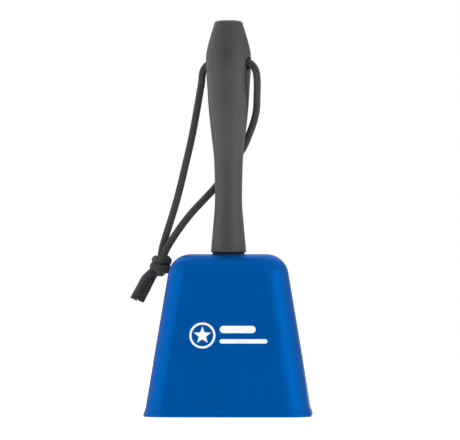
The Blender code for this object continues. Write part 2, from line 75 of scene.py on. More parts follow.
SCREW_HOLE_RADIUS = 2.8 * MM

# Print on the bell's front, in millimetres. Bars are (left, right, middle height, half height).
PRINT_HEIGHT = 48.7
PRINT_HALF_THICK = 0.03
EMBLEM_X = -14.6
EMBLEM_RING = (7.8, 6.5)
EMBLEM_STAR = 5.4
STAR_TIPS = 5
STAR_WAIST = 0.42
BARS = ((-4.3, 17.2, 3.6, 2.2), (-4.3, 24.2, -3.5, 1.3))

# Grip.
grip_low, grip_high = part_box("handle_grip")
GRIP_FOOT_RADIUS = 10.56 * MM
GRIP_FOOT_ROUND = 1.0 * MM
GRIP_CROWN_ROUND = 2.4 * MM
GRIP_POCKET_RADIUS = 4.0 * MM
GRIP_POCKET_DEPTH = 13.0 * MM
GRIP_CURVE = [
    (10.56, 98.9), (9.31, 112.8), (8.18, 127.0), (8.25, 142.0), (8.80, 156.0), (10.40, 170.4),
    (11.90, 184.8), (12.80, 199.0), (13.55, 211.0), (13.35, 217.5), (11.90, 224.4), (9.80, 231.6),
    (8.70, 234.8),
]
CROSS_HOLE_RADIUS = 3.9 * MM
CROSS_HOLE_Z = 211.9 * MM
CROSS_HOLE_YAW = math.radians(-20.0)
CROSS_HOLE_LIP = 0.9 * MM
PARTING_LINE = 0.07 * MM
PARTING_LINE_HALF_ANGLE = math.radians(0.35)
GRIP_DOME_SAG = 6.0

# Cord.
CORD_RADIUS = 2.1 * MM
KNOT_SWELL = 0.22
CORD_STEP = 0.30 * MM
CORD_SIDES = 48
BRAID_YARNS = 8
BRAID_PITCH = 15.0 * MM
BRAID_FLOOR = 0.95
BRAID_RISE = 0.13
FRAY_YARNS = (14, 8)
FRAY_SIDES = 10
FRAY_YARN_RADIUS = 0.36 * MM
knot_low, knot_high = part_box("cord_knot")
KNOT_CENTRE = (knot_low + knot_high) / 2.0
LEFT_STRAND = [
    (-0.0411, 0.0178, 0.0984), (-0.0404, 0.0179, 0.1018), (-0.0393, 0.0172, 0.1055),
    (-0.0374, 0.0158, 0.1115), (-0.0350, 0.0147, 0.1188), (-0.0317, 0.0136, 0.1297),
    (-0.0289, 0.0126, 0.1405), (-0.0263, 0.0117, 0.1514), (-0.0237, 0.0109, 0.1623),
    (-0.0214, 0.0101, 0.1731), (-0.0194, 0.0093, 0.1840), (-0.0175, 0.0083, 0.1948),
    (-0.0165, 0.0070, 0.2005),
]
HOLE_SPAN = [
    (-0.0161, 0.0061, 0.2042), (-0.01575, 0.0059, 0.2066), (-0.01485, 0.0055, 0.20875),
    (-0.0132, 0.0048, 0.2107), (-0.0113, 0.0041, 0.2120), (-0.0090, 0.0033, 0.2129),
    (-0.0062, 0.0023, 0.2133), (0.0000, 0.0000, 0.2134), (0.0062, -0.0023, 0.2134),
    (0.0086, -0.0031, 0.2132), (0.0108, -0.0039, 0.2128), (0.0129, -0.0047, 0.2119),
    (0.01475, -0.0053, 0.2104), (0.0160, -0.0058, 0.2086), (0.0168, -0.0061, 0.2065),
]
RIGHT_STRAND = [
    (0.0172, -0.0061, 0.2041), (0.0174, -0.0055, 0.2013), (0.0174, -0.0036, 0.1974),
    (0.0171, 0.0008, 0.1911), (0.0166, 0.0048, 0.1837), (0.0149, 0.0076, 0.1766),
    (0.0122, 0.0098, 0.1694), (0.0091, 0.0115, 0.1622), (0.0050, 0.0125, 0.1556),
    (0.0002, 0.0127, 0.1488), (-0.0045, 0.0121, 0.1424), (-0.0087, 0.0114, 0.1369),
    (-0.0155, 0.0109, 0.1296), (-0.0222, 0.0110, 0.1224), (-0.0280, 0.0114, 0.1152),
    (-0.0331, 0.0119, 0.1079), (-0.0369, 0.0121, 0.1019), (-0.0388, 0.0125, 0.0982),
]
FRONT_TAIL = [
    (-0.0479, 0.0122, 0.0855), (-0.0496, 0.0122, 0.0838), (-0.0510, 0.0123, 0.0824),
    (-0.0520, 0.0124, 0.0808), (-0.0538, 0.0126, 0.0773), (-0.0560, 0.0128, 0.0734),
    (-0.0580, 0.0128, 0.0696),
]
BACK_TAIL = [
    (-0.0468, 0.0170, 0.0826), (-0.0485, 0.0158, 0.0792), (-0.0502, 0.0154, 0.0756),
    (-0.0522, 0.0153, 0.0718), (-0.0539, 0.0154, 0.0683),
]

# Clapper.
joints = {joint["name"]: joint for joint in frame["joints"]}
PIN_Z = joints["ring_swing"]["pos_m"][2]
SWING_Z = joints["clapper_swing"]["pos_m"][2]
PIN_RADIUS = 1.5 * MM
WIRE_RADIUS = 1.25 * MM
RING_RADIUS = 6.0 * MM
EYE_RADIUS = 3.15 * MM
EYE_DROP = 0.3 * MM
BALL_HOLE_RADIUS = 1.6 * MM
BALL_HOLE_DEPTH = 6.0 * MM
BALL_FLAT_RADIUS = 2.6 * MM

# Mounting screw.
SCREW_RADIUS = 2.5 * MM
SCREW_HEAD_HEIGHT = 2.8 * MM
SCREW_HEAD_ROUND = 1.5 * MM
THREAD_PITCH = 0.8 * MM
THREAD_DEPTH = 0.40 * MM


# ---------------------------------------------------------------- curves and meshes


def arc(centre, radius, start, end, steps):
    """Points on a circle in the plane, from the start angle to the end angle, both in degrees."""
    angles = [math.radians(start + (end - start) * index / steps) for index in range(steps + 1)]
    return [(centre[0] + radius * math.cos(a), centre[1] + radius * math.sin(a)) for a in angles]


def smooth_curve(points, steps):
    """Centripetal Catmull-Rom curve through the points, with this many steps between each two."""
    knots = [Vector(point) for point in points]
    padded = [2.0 * knots[0] - knots[1], *knots, 2.0 * knots[-1] - knots[-2]]
    curve = []
    for before, start, end, after in zip(padded, padded[1:], padded[2:], padded[3:]):
        times = [0.0]
        for first, second in ((before, start), (start, end), (end, after)):
            times.append(times[-1] + math.sqrt((second - first).length))
        for step in range(steps):
            t = times[1] + (times[2] - times[1]) * step / steps
            low = before.lerp(start, (t - times[0]) / (times[1] - times[0]))
            middle = start.lerp(end, (t - times[1]) / (times[2] - times[1]))
            high = end.lerp(after, (t - times[2]) / (times[3] - times[2]))
            first = low.lerp(middle, (t - times[0]) / (times[2] - times[0]))
            second = middle.lerp(high, (t - times[1]) / (times[3] - times[1]))
            curve.append(first.lerp(second, (t - times[1]) / (times[2] - times[1])))
    curve.append(knots[-1])
    return curve


def even_points(curve, spacing):
    """Points along a curve at even steps of about the given spacing, both ends included."""
    lengths = [0.0]
    for first, second in zip(curve, curve[1:]):
        lengths.append(lengths[-1] + (second - first).length)
    count = max(2, round(lengths[-1] / spacing))
    points = []
    place = 0
    for index in range(count + 1):
        wanted = lengths[-1] * index / count
        while place < len(curve) - 2 and lengths[place + 1] < wanted:
            place += 1
        stretch = lengths[place + 1] - lengths[place]
        points.append(curve[place].lerp(curve[place + 1], (wanted - lengths[place]) / stretch))
    return points


def add_mesh(name, mesh_data, material, sharp=35.0):
    """Turn a bmesh into a shaded object."""
    bmesh.ops.recalc_face_normals(mesh_data, faces=mesh_data.faces)
    mesh = bpy.data.meshes.new(name)
    mesh_data.to_mesh(mesh)
    mesh_data.free()
    return add_object(name, mesh, material, sharp)


def add_object(name, mesh, material, sharp=35.0):
    mesh.materials.append(material)
    mesh.shade_smooth()
    mesh.set_sharp_from_angle(angle=math.radians(sharp))
    obj = bpy.data.objects.new(name, mesh)
    bpy.context.scene.collection.objects.link(obj)
    return obj


def skin_rings(rings, joined=False):
    """A bmesh skinned over rings of equal length. Joined rings close on themselves."""
    mesh_data = bmesh.new()
    loops = [[mesh_data.verts.new(point) for point in ring] for ring in rings]
    pairs = list(zip(loops, loops[1:]))
    if joined:
        pairs.append((loops[-1], loops[0]))
    for lower, upper in pairs:
        for index in range(len(lower)):
            after = (index + 1) % len(lower)
            mesh_data.faces.new((lower[index], lower[after], upper[after], upper[index]))
    if not joined:
        mesh_data.faces.new(loops[0])
        mesh_data.faces.new(loops[-1])
    return mesh_data


def turned_rings(profile, angles):
    return [
        [Vector((radius * math.cos(a), radius * math.sin(a), height)) for a in angles]
        for radius, height in profile
    ]


def full_turn(segments):
    return [2.0 * math.pi * index / segments for index in range(segments)]


def turned(name, profile, material, segments=96, joined=False, sharp=35.0):
    """A piece turned about Z from (radius, height) points."""
    mesh_data = skin_rings(turned_rings(profile, full_turn(segments)), joined)
    return add_mesh(name, mesh_data, material, sharp)


def apply_modifiers(obj):
    """Replace an object's mesh with its modified one."""
    depsgraph = bpy.context.evaluated_depsgraph_get()
    mesh = bpy.data.meshes.new_from_object(obj.evaluated_get(depsgraph), depsgraph=depsgraph)
    obj.modifiers.clear()
    obj.data = mesh


def cut(obj, *cutters):
    """Take the cutters' shapes out of an object, and drop the cutters."""
    for cutter in cutters:
        modifier = obj.modifiers.new(cutter.name, "BOOLEAN")
        modifier.operation = "DIFFERENCE"
        modifier.solver = "EXACT"
        modifier.object = cutter
    bpy.context.view_layer.update()
    apply_modifiers(obj)
    for cutter in cutters:
        bpy.data.objects.remove(cutter)


def cylinder(name, radius, length, centre, direction, material, segments=64):
    mesh_data = bmesh.new()
    turn = Vector((0.0, 0.0, 1.0)).rotation_difference(Vector(direction)).to_matrix().to_4x4()
    bmesh.ops.create_cone(
        mesh_data, cap_ends=True, segments=segments, radius1=radius, radius2=radius, depth=length,
        matrix=Matrix.Translation(centre) @ turn,
    )
    return add_mesh(name, mesh_data, material)


def put(obj, body, slot, *nodes):
    """Attach a piece to the body it rides on and hide the CAD nodes it stands for. The slot argument is not
    used.
    """
    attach(obj, body)
    if nodes:
        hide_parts(*nodes)
    return obj


# ---------------------------------------------------------------- materials


class Shader:
    """A material's node tree, built up with short calls."""

    def __init__(self, name):
        self.material = bpy.data.materials.new(name)
        self.material.use_nodes = True
        self.tree = self.material.node_tree
        self.surface = self.tree.nodes["Principled BSDF"]

    def set(self, **values):
        for name, value in values.items():
            self.surface.inputs[name.replace("_", " ")].default_value = value

    def add(self, kind, inputs=(), **settings):
        node = self.tree.nodes.new(kind)
        for name, value in settings.items():
            setattr(node, name, value)
        for name, value in dict(inputs).items():
            self.feed(node.inputs[name], value)
        return node

    def feed(self, socket, value):
        if isinstance(value, bpy.types.NodeSocket):
            self.tree.links.new(value, socket)
        else:
            socket.default_value = value

    def math(self, operation, first, second=0.0):
        return self.add("ShaderNodeMath", {0: first, 1: second}, operation=operation).outputs[0]

    def place(self):
        return self.add("ShaderNodeTexCoord").outputs["Object"]

    def stretched(self, scale):
        return self.add("ShaderNodeMapping", {"Vector": self.place(), "Scale": scale}).outputs[0]

    def noise(self, scale, detail=3.0, roughness=0.5, vector=None):
        node = self.add("ShaderNodeTexNoise", {
            "Vector": self.place() if vector is None else vector,
            "Scale": scale, "Detail": detail, "Roughness": roughness,
        })
        return node.outputs["Fac"]

    def spread(self, value, low, high, from_low=0.0, from_high=1.0):
        node = self.add("ShaderNodeMapRange", {
            "Value": value, "From Min": from_low, "From Max": from_high, "To Min": low, "To Max": high,
        })
        return node.outputs[0]

    def ramp(self, value, *stops):
        node = self.add("ShaderNodeValToRGB", {"Fac": value})
        elements = node.color_ramp.elements
        while len(elements) < len(stops):
            elements.new(0.5)
        for element, (position, colour) in zip(elements, stops):
            element.position = position
            element.color = (*colour, 1.0)
        return node.outputs[0]

    def bump(self, *layers):
        """Chain bumps, each a height with its depth in metres."""
        normal = None
        for height, depth in layers:
            inputs = {"Height": height, "Distance": depth, "Strength": 1.0}
            if normal is not None:
                inputs["Normal"] = normal
            normal = self.add("ShaderNodeBump", inputs).outputs[0]
        self.feed(self.surface.inputs["Normal"], normal)

    def colour(self, value):
        self.feed(self.surface.inputs["Base Color"], value)

    def roughness(self, value):
        self.feed(self.surface.inputs["Roughness"], value)


def enamel_paint():
    """Glossy blue enamel: faint orange peel, fine specks, a slight cloudiness."""
    shader = Shader("blue_enamel")
    shader.set(Metallic=0.55, Specular_IOR_Level=0.22, Specular_Tint=(0.0, 0.55, 1.0, 1.0))
    clouds = shader.noise(26.0, 2.0)
    shader.colour(shader.ramp(clouds, (0.35, (0.0002, 0.101, 0.420)), (0.65, (0.0003, 0.106, 0.438))))
    shader.roughness(shader.spread(shader.noise(140.0, 4.0), 0.24, 0.29))
    shader.bump((shader.noise(420.0, 1.0), 0.004 * MM))
    return shader.material


def inside_paint():
    """The same enamel where the spray is thinner and drier, inside the bell."""
    shader = Shader("blue_enamel_inside")
    shader.set(Metallic=0.35, Specular_IOR_Level=0.35)
    clouds = shader.noise(60.0, 4.0, 0.65)
    shader.colour(shader.ramp(clouds, (0.30, (0.0006, 0.062, 0.250)), (0.70, (0.0010, 0.090, 0.350))))
    shader.roughness(shader.spread(shader.noise(220.0, 4.0), 0.36, 0.52))
    shader.bump((shader.noise(700.0, 2.0), 0.020 * MM), (shader.noise(3200.0, 3.0), 0.006 * MM))
    return shader.material


def grip_plastic():
    """Satin moulded plastic with the fine grain of an etched mould."""
    shader = Shader("grip_plastic")
    shader.set(Specular_IOR_Level=0.7)
    clouds = shader.noise(45.0, 3.0)
    shader.colour(shader.ramp(clouds, (0.30, (0.026, 0.026, 0.026)), (0.70, (0.031, 0.031, 0.031))))
    shader.roughness(shader.spread(shader.noise(160.0, 4.0), 0.34, 0.40))
    shader.bump((shader.noise(1500.0, 2.0), 0.010 * MM), (shader.noise(5200.0, 2.0), 0.004 * MM))
    return shader.material


def gasket_rubber():
    shader = Shader("gasket_rubber")
    dust = shader.noise(300.0, 4.0)
    shader.colour(shader.ramp(dust, (0.3, (0.010, 0.010, 0.012)), (0.7, (0.018, 0.018, 0.020))))
    shader.roughness(shader.spread(shader.noise(500.0), 0.60, 0.75))
    shader.bump((shader.noise(1800.0, 3.0), 0.020 * MM))
    return shader.material


def brass():
    shader = Shader("insert_brass")
    shader.set(Metallic=1.0)
    shader.colour(shader.ramp(shader.noise(200.0, 4.0), (0.3, (0.52, 0.35, 0.12)), (0.7, (0.64, 0.45, 0.18))))
    shader.roughness(shader.spread(shader.noise(400.0, 4.0), 0.24, 0.38))
    shader.bump((shader.noise(1.0, 3.0, vector=shader.stretched((300.0, 300.0, 6000.0))), 0.004 * MM))
    return shader.material


def zinc_steel():
    """Bright zinc plating over punched strip: faint rolling lines and a slight bloom."""
    shader = Shader("zinc_steel")
    shader.set(Metallic=1.0)
    bloom = shader.noise(180.0, 5.0, 0.6)
    shader.colour(shader.ramp(bloom, (0.30, (0.47, 0.48, 0.50)), (0.70, (0.62, 0.63, 0.64))))
    lines = shader.noise(1.0, 4.0, vector=shader.stretched((400.0, 5000.0, 400.0)))
    shader.roughness(shader.spread(bloom, 0.26, 0.40))
    shader.bump((lines, 0.003 * MM), (shader.noise(900.0, 3.0), 0.004 * MM))
    return shader.material


def clapper_steel():
    """Plated steel that has been knocked: fine scuffs over a fairly bright surface."""
    shader = Shader("clapper_steel")
    shader.set(Metallic=1.0)
    haze = shader.noise(120.0, 5.0, 0.6)
    shader.colour(shader.ramp(haze, (0.30, (0.44, 0.44, 0.45)), (0.70, (0.58, 0.58, 0.59))))
    scuffs = shader.noise(1.0, 5.0, 0.7, vector=shader.stretched((900.0, 900.0, 90.0)))
    shader.roughness(shader.spread(scuffs, 0.16, 0.42, 0.3, 0.7))
    shader.bump((scuffs, 0.006 * MM), (shader.noise(420.0, 2.0), 0.010 * MM))
    return shader.material


def print_ink():
    """White pad-printed ink, slightly uneven."""
    shader = Shader("print_ink")
    cover = shader.noise(240.0, 4.0)
    shader.colour(shader.ramp(cover, (0.30, (0.80, 0.81, 0.82)), (0.70, (0.88, 0.88, 0.88))))
    shader.roughness(shader.spread(shader.noise(600.0), 0.40, 0.55))
    shader.bump((shader.noise(2200.0, 2.0), 0.004 * MM))
    return shader.material


def braided_fibre():
    """Dark polyester yarns, each painted darker towards its edges as painted shade in the creases between
    yarns. The braid's own UV map says which yarn is on top and how its fibres run.
    """
    shader = Shader("braided_fibre")
    shader.set(Sheen_Weight=0.12, Sheen_Roughness=0.5, Specular_IOR_Level=0.25)
    split = shader.add("ShaderNodeSeparateXYZ", {0: shader.add("ShaderNodeUVMap", uv_map="braid").outputs[0]})
    around, along = split.outputs[0], split.outputs[1]
    first = shader.math("MULTIPLY", shader.math("SUBTRACT", around, along), BRAID_YARNS)
    second = shader.math("MULTIPLY", shader.math("ADD", around, along), BRAID_YARNS)
    cells = shader.math("ADD", shader.math("FLOOR", first), shader.math("FLOOR", second))
    first_on_top = shader.math("LESS_THAN", shader.math("FLOORED_MODULO", cells, 4.0), 1.5)
    across = shader.add("ShaderNodeMix", {0: first_on_top, 2: second, 3: first}).outputs[0]
    length = shader.add("ShaderNodeMix", {0: first_on_top, 2: first, 3: second}).outputs[0]
    inside = shader.math("FRACT", across)
    fibres = shader.add("ShaderNodeCombineXYZ", {
        0: shader.math("MULTIPLY", across, 9.0),
        1: shader.math("MULTIPLY", length, 0.7),
        2: shader.math("MULTIPLY", first_on_top, 5.0),
    }).outputs[0]
    strands = shader.noise(1.0, 3.0, 0.6, vector=fibres)
    # Painted crease shade: each yarn's colour darkens towards its two edges, where it dips under its
    # neighbours; the strand noise adds random fibre tone on top.
    edge = shader.math("ABSOLUTE", shader.math("SUBTRACT", shader.math("MULTIPLY", inside, 2.0), 1.0))
    painted_crease_shade = shader.math("SUBTRACT", 1.0, shader.math("MULTIPLY", shader.math("POWER", edge, 3.0), 0.55))
    crease_shade_and_fibre_tone = shader.math("MULTIPLY", painted_crease_shade, shader.spread(strands, 0.72, 1.25, 0.3, 0.7))
    shader.colour(shader.ramp(crease_shade_and_fibre_tone, (0.25, (0.006, 0.006, 0.006)), (1.0, (0.052, 0.052, 0.050))))
    shader.roughness(shader.spread(strands, 0.60, 0.85))
    shader.bump((strands, 0.05 * MM))
    return shader.material


def floor_paint():
    """Pale floor, seen from above only, so that the underside of the bell can be looked at too."""
    shader = Shader("pale_floor")
    shader.set(Roughness=0.9, Specular_IOR_Level=0.1)
    shader.set(Emission_Color=(1.0, 1.0, 1.0, 1.0), Emission_Strength=0.5)
    shader.colour(shader.ramp(shader.noise(3.0, 2.0), (0.3, (0.86, 0.86, 0.86)), (0.7, (0.88, 0.88, 0.88))))
    behind = shader.add("ShaderNodeNewGeometry").outputs["Backfacing"]
    clear = shader.add("ShaderNodeBsdfTransparent").outputs[0]
    mixed = shader.add("ShaderNodeMixShader", {0: behind, 1: shader.surface.outputs[0], 2: clear})
    output = shader.tree.nodes["Material Output"]
    shader.tree.links.new(mixed.outputs[0], output.inputs["Surface"])
    return shader.material


# ---------------------------------------------------------------- bell


def rounded_section(height, half_width, half_depth, corner):
    """A rounded rectangle at one height, counter-clockwise from above, with points along its sides."""
    across, deep = half_width - corner, half_depth - corner
    centres = [(across, deep), (-across, deep), (-across, -deep), (across, -deep)]
    ring = []
    for quarter, centre in enumerate(centres):
        start = 90.0 * quarter
        corner_points = arc(centre, corner, start, start + 90.0, CORNER_STEPS)
        after = arc(centres[(quarter + 1) % 4], corner, start + 90.0, start + 90.0, 1)[0]
        ring += corner_points
        last = corner_points[-1]
        for step in range(1, EDGE_STEPS):
            share = step / EDGE_STEPS
            ring.append((last[0] + (after[0] - last[0]) * share, last[1] + (after[1] - last[1]) * share))
    return [Vector((x, y, height)) for x, y in ring]


def shoulder_start():
    return BELL_HEIGHT - SHOULDER_RADIUS * (1.0 - math.sin(SIDE_TAPER))


def wall_sizes(height):
    """Half width, half depth and corner radius of the outer wall at a height."""
    rise = height - FOOT_Z
    share = rise / (shoulder_start() - FOOT_Z)
    shoulder_corner = TOP_CORNER + SHOULDER_RADIUS * math.cos(SIDE_TAPER)
    return (
        FOOT_HALF_WIDTH - rise * math.tan(SIDE_TAPER),
        FOOT_HALF_DEPTH - rise * math.tan(FRONT_TAPER),
        FOOT_CORNER + (shoulder_corner - FOOT_CORNER) * share,
    )


def wall_section(height, offset):
    return rounded_section(height, *[size + offset for size in wall_sizes(height)])


def shoulder_rings(radius):
    """Rings of the rounded shoulder, from the wall up to the flat top."""
    reach = SHOULDER_RADIUS * math.cos(SIDE_TAPER)
    half_width, half_depth, _ = wall_sizes(shoulder_start())
    centre_z = BELL_HEIGHT - SHOULDER_RADIUS
    rings = []
    for step in range(SHOULDER_STEPS + 1):
        angle = SIDE_TAPER + (math.pi / 2.0 - SIDE_TAPER) * step / SHOULDER_STEPS
        offset = radius * math.cos(angle)
        height = centre_z + radius * math.sin(angle)
        sizes = (half_width - reach + offset, half_depth - reach + offset, TOP_CORNER + offset)
        rings.append(rounded_section(height, *sizes))
    return rings


def top_rings(edge):
    """Rings across the flat top, from its edge in to the round screw hole."""
    count = len(edge)
    first = -(CORNER_STEPS / 2.0) * 2.0 * math.pi / count + math.pi / 4.0
    hole = [
        Vector((
            SCREW_HOLE_RADIUS * math.cos(first + 2.0 * math.pi * index / count),
            SCREW_HOLE_RADIUS * math.sin(first + 2.0 * math.pi * index / count),
            edge[0].z,
        ))
        for index in range(count)
    ]
    return [[a.lerp(b, share) for a, b in zip(edge, hole)] for share in (0.25, 0.5, 0.75, 1.0)]


def hem_profile():
    """(offset, height) points round the flared lip and hem, from the outer wall to the inner wall."""
    middle_z = 0.5 * (FLARE_Z + HEM_HEIGHT)
    flare = smooth_curve(
        [(0.0, FLARE_Z + 0.8 * MM, 0.0), (0.35 * HEM_REACH, middle_z, 0.0), (HEM_REACH, HEM_HEIGHT, 0.0)], 4,
    )
    outer = arc((HEM_REACH - HEM_ROUND, HEM_ROUND), HEM_ROUND, 0.0, -90.0, 8)
    inside = -SHEET - HEM_INNER_REACH
    inner = arc((inside + HEM_ROUND, HEM_ROUND), HEM_ROUND, -90.0, -180.0, 8)
    fold_points = [(inside, HEM_HEIGHT, 0.0), (inside + 0.6 * MM, 2.9 * MM, 0.0), (-SHEET, middle_z, 0.0)]
    fold = smooth_curve(fold_points, 4)
    return [(p.x, p.y) for p in flare] + outer + inner + [(p.x, p.y) for p in fold]


def make_bell(outside, inside):
    heights = [FOOT_Z + (shoulder_start() - FOOT_Z) * step / WALL_STEPS for step in range(WALL_STEPS)]
    outer_shoulder = shoulder_rings(SHOULDER_RADIUS)
    inner_shoulder = shoulder_rings(SHOULDER_RADIUS - SHEET)
    outer = [*reversed(top_rings(outer_shoulder[-1])), *reversed(outer_shoulder)]
    outer += [wall_section(height, 0.0) for height in reversed(heights)]
    hem = [wall_section(height, offset) for offset, height in hem_profile()]
    inner = [wall_section(height, -SHEET) for height in heights]
    inner += [*inner_shoulder, *top_rings(inner_shoulder[-1])]
    mesh_data = skin_rings(outer + hem + inner, joined=True)
    bell = add_mesh("bell_body", mesh_data, outside, sharp=50.0)
    bell.data.materials.append(inside)
    sides = len(outer[0])
    first_inner_face = (len(outer) + len(hem) - 2) * sides
    for polygon in bell.data.polygons:
        polygon.material_index = 1 if polygon.index >= first_inner_face else 0
    return put(bell, "root", "bell_paint", "bell_shell")


def star_points(centre, radius):
    """A plain star, as alternating tips and notches."""
    result = []
    for index in range(2 * STAR_TIPS):
        reach = radius * (1.0 if index % 2 == 0 else STAR_WAIST)
        angle = math.pi / 2.0 + math.pi * index / STAR_TIPS
        result.append((centre[0] + reach * math.cos(angle), centre[1] + reach * math.sin(angle)))
    return result


def bar_points(left, right, middle, half_height):
    """A bar with round ends."""
    start = arc((left + half_height, middle), half_height, 90.0, 270.0, 12)
    end = arc((right - half_height, middle), half_height, -90.0, 90.0, 12)
    return start + end


def make_print(ink):
    """A plain white mark on the front: a star in a ring beside two bars, lying just proud of the paint."""
    middle_z = PRINT_HEIGHT * MM
    half_thick = PRINT_HALF_THICK * MM
    emblem = (EMBLEM_X * MM, 0.0)
    outlines = [arc(emblem, radius * MM, 0.0, 356.25, 95) for radius in EMBLEM_RING]
    outlines.append(star_points(emblem, EMBLEM_STAR * MM))
    outlines += [bar_points(*[value * MM for value in bar]) for bar in BARS]
    curve = bpy.data.curves.new("front_print", "CURVE")
    curve.dimensions = "2D"
    curve.fill_mode = "BOTH"
    curve.extrude = half_thick
    for outline in outlines:
        spline = curve.splines.new("POLY")
        spline.points.add(len(outline) - 1)
        spline.use_cyclic_u = True
        for point, (x, y) in zip(spline.points, outline):
            point.co = (x, y, 0.0, 1.0)
    flat = bpy.data.objects.new("front_print_outline", curve)
    bpy.context.scene.collection.objects.link(flat)
    bpy.context.view_layer.update()
    mesh = bpy.data.meshes.new_from_object(flat.evaluated_get(bpy.context.evaluated_depsgraph_get()))
    bpy.data.objects.remove(flat)
    _, half_depth, _ = wall_sizes(middle_z)
    tilt = Matrix.Rotation(math.pi / 2.0 - FRONT_TAPER, 4, "X")
    proud = Matrix.Translation((0.0, 0.0, 1.5 * half_thick))
    mesh.transform(Matrix.Translation((0.0, -half_depth, middle_z)) @ tilt @ proud)
    mesh.materials.clear()
    return put(add_object("front_print", mesh, ink), "root", "bell_paint")


# ---------------------------------------------------------------- grip and its fixing


def grip_profile():
    foot_z = grip_low.z
    foot_centre = (GRIP_FOOT_RADIUS - GRIP_FOOT_ROUND, foot_z + GRIP_FOOT_ROUND)
    foot = arc(foot_centre, GRIP_FOOT_ROUND, -90.0, -8.0, 8)
    side = smooth_curve([(radius * MM, height * MM, 0.0) for radius, height in GRIP_CURVE], 10)
    crown_centre = (GRIP_CURVE[-1][0] * MM - GRIP_CROWN_ROUND, grip_high.z - GRIP_CROWN_ROUND - 0.4 * MM)
    crown = arc(crown_centre, GRIP_CROWN_ROUND, 24.0, 84.0, 9)
    dome = [(step * MM, grip_high.z - GRIP_DOME_SAG * (step * MM) ** 2) for step in (5.0, 3.5, 2.0, 0.6)]
    pocket = [
        (GRIP_POCKET_RADIUS * 0.3, foot_z + GRIP_POCKET_DEPTH),
        (GRIP_POCKET_RADIUS, foot_z + GRIP_POCKET_DEPTH),
        (GRIP_POCKET_RADIUS, foot_z + 0.4 * MM),
        (GRIP_POCKET_RADIUS + 0.4 * MM, foot_z),
        (0.5 * (GRIP_POCKET_RADIUS + GRIP_FOOT_RADIUS), foot_z),
    ]
    return pocket + foot + [(p.x, p.y) for p in side[1:-1]] + crown + dome


def grip_radius(height):
    """Outer radius of the grip at a height, read off its profile."""
    curve = smooth_curve([(radius * MM, z * MM, 0.0) for radius, z in GRIP_CURVE], 10)
    return float(np.interp(height, [p.y for p in curve], [p.x for p in curve]))


def cross_hole_cutter(material):
    """A cutter whose ends widen in a quarter round, so that the hole's mouths are rounded over."""
    axis = Vector((math.cos(CROSS_HOLE_YAW), math.sin(CROSS_HOLE_YAW), 0.0))
    side = Vector((-math.sin(CROSS_HOLE_YAW), math.cos(CROSS_HOLE_YAW), 0.0))
    centre = Vector((0.0, 0.0, CROSS_HOLE_Z))
    steps = 8
    shape = [(0.0, -CROSS_HOLE_LIP)]
    for step in range(1, steps + 1):
        angle = 0.5 * math.pi * step / steps
        shape.append((CROSS_HOLE_LIP * (1.0 - math.cos(angle)), CROSS_HOLE_LIP * (math.sin(angle) - 1.0)))
    shape.append((1.15 * CROSS_HOLE_LIP, 0.5 * CROSS_HOLE_LIP))
    shape.append((1.15 * CROSS_HOLE_LIP, 3.0 * CROSS_HOLE_LIP))
    half = []
    for widening, outwards in shape:
        ring = []
        for turn in full_turn(72):
            reach = CROSS_HOLE_RADIUS + widening
            sideways, upwards = reach * math.cos(turn), reach * math.sin(turn)
            surface = math.sqrt(grip_radius(CROSS_HOLE_Z + upwards) ** 2 - sideways ** 2)
            ring.append((sideways, upwards, surface + outwards))
        half.append(ring)
    rings = []
    for ring in reversed(half):
        rings.append([centre + side * a + Vector((0.0, 0.0, b)) - axis * c for a, b, c in ring])
    for ring in half:
        rings.append([centre + side * a + Vector((0.0, 0.0, b)) + axis * c for a, b, c in ring])
    return add_mesh("cross_hole_cutter", skin_rings(rings), material)


def make_grip(material):
    """The moulded grip: a turned body with a faint parting line on each side and a rounded cross hole."""
    seam = PARTING_LINE_HALF_ANGLE
    angles = sorted(full_turn(132) + [seam, 2.0 * math.pi - seam, math.pi - seam, math.pi + seam])
    rings = turned_rings(grip_profile(), angles)
    outside = len(grip_profile()) - 4
    for ring in rings[5:outside]:
        for angle, point in zip(angles, ring):
            if min(abs(angle), abs(angle - math.pi)) < 1e-6:
                scale = 1.0 + PARTING_LINE / math.hypot(point.x, point.y)
                point.x *= scale
                point.y *= scale
    grip = add_mesh("grip_body", skin_rings(rings), material, sharp=40.0)
    cut(grip, cross_hole_cutter(material))
    grip.data.shade_smooth()
    grip.data.set_sharp_from_angle(angle=math.radians(32.0))
    return put(grip, "root", "grip_plastic", "handle_grip")


def make_gasket(material):
    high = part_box("base_gasket")[1]
    bottom, top = shell_high.z + 0.03 * MM, grip_low.z - 0.03 * MM
    middle, half = 0.5 * (bottom + top), 0.5 * (top - bottom)
    bulge = arc((high.x - half, middle), half, -90.0, 90.0, 12)
    profile = [(2.9 * MM, top), (2.9 * MM, bottom), *bulge]
    gasket = turned("gasket_ring", profile, material, 96, joined=True)
    return put(gasket, "root", "gasket_rubber", "base_gasket")


def ring_profile(bore, radius, low, high, edge):
    """Outline of a washer with rounded edges."""
    points = arc((radius - edge, low + edge), edge, -90.0, 0.0, 4)
    points += arc((radius - edge, high - edge), edge, 0.0, 90.0, 4)
    points += arc((bore + edge, high - edge), edge, 90.0, 180.0, 4)
    points += arc((bore + edge, low + edge), edge, 180.0, 270.0, 4)
    return points


def make_washers(steel):
    low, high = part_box("flat_washer")
    profile = ring_profile(SCREW_HOLE_RADIUS, high.x, low.z, high.z, 0.15 * MM)
    put(turned("flat_washer_body", profile, steel, 96, joined=True), "root", "fixing_steel", "flat_washer")
    low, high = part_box("spring_washer")
    rise = 0.2 * MM
    split = math.radians(9.0)
    steps = 160
    rings = []
    for step in range(steps + 1):
        share = step / steps
        angle = split / 2.0 + (2.0 * math.pi - split) * share
        climb = rise * share
        section = ring_profile(SCREW_HOLE_RADIUS, high.x, low.z + climb, high.z - rise + climb, 0.12 * MM)
        rings.append([Vector((r * math.cos(angle), r * math.sin(angle), z)) for r, z in section])
    spring = add_mesh("spring_washer_body", skin_rings(rings), steel)
    put(spring, "root", "fixing_steel", "spring_washer")


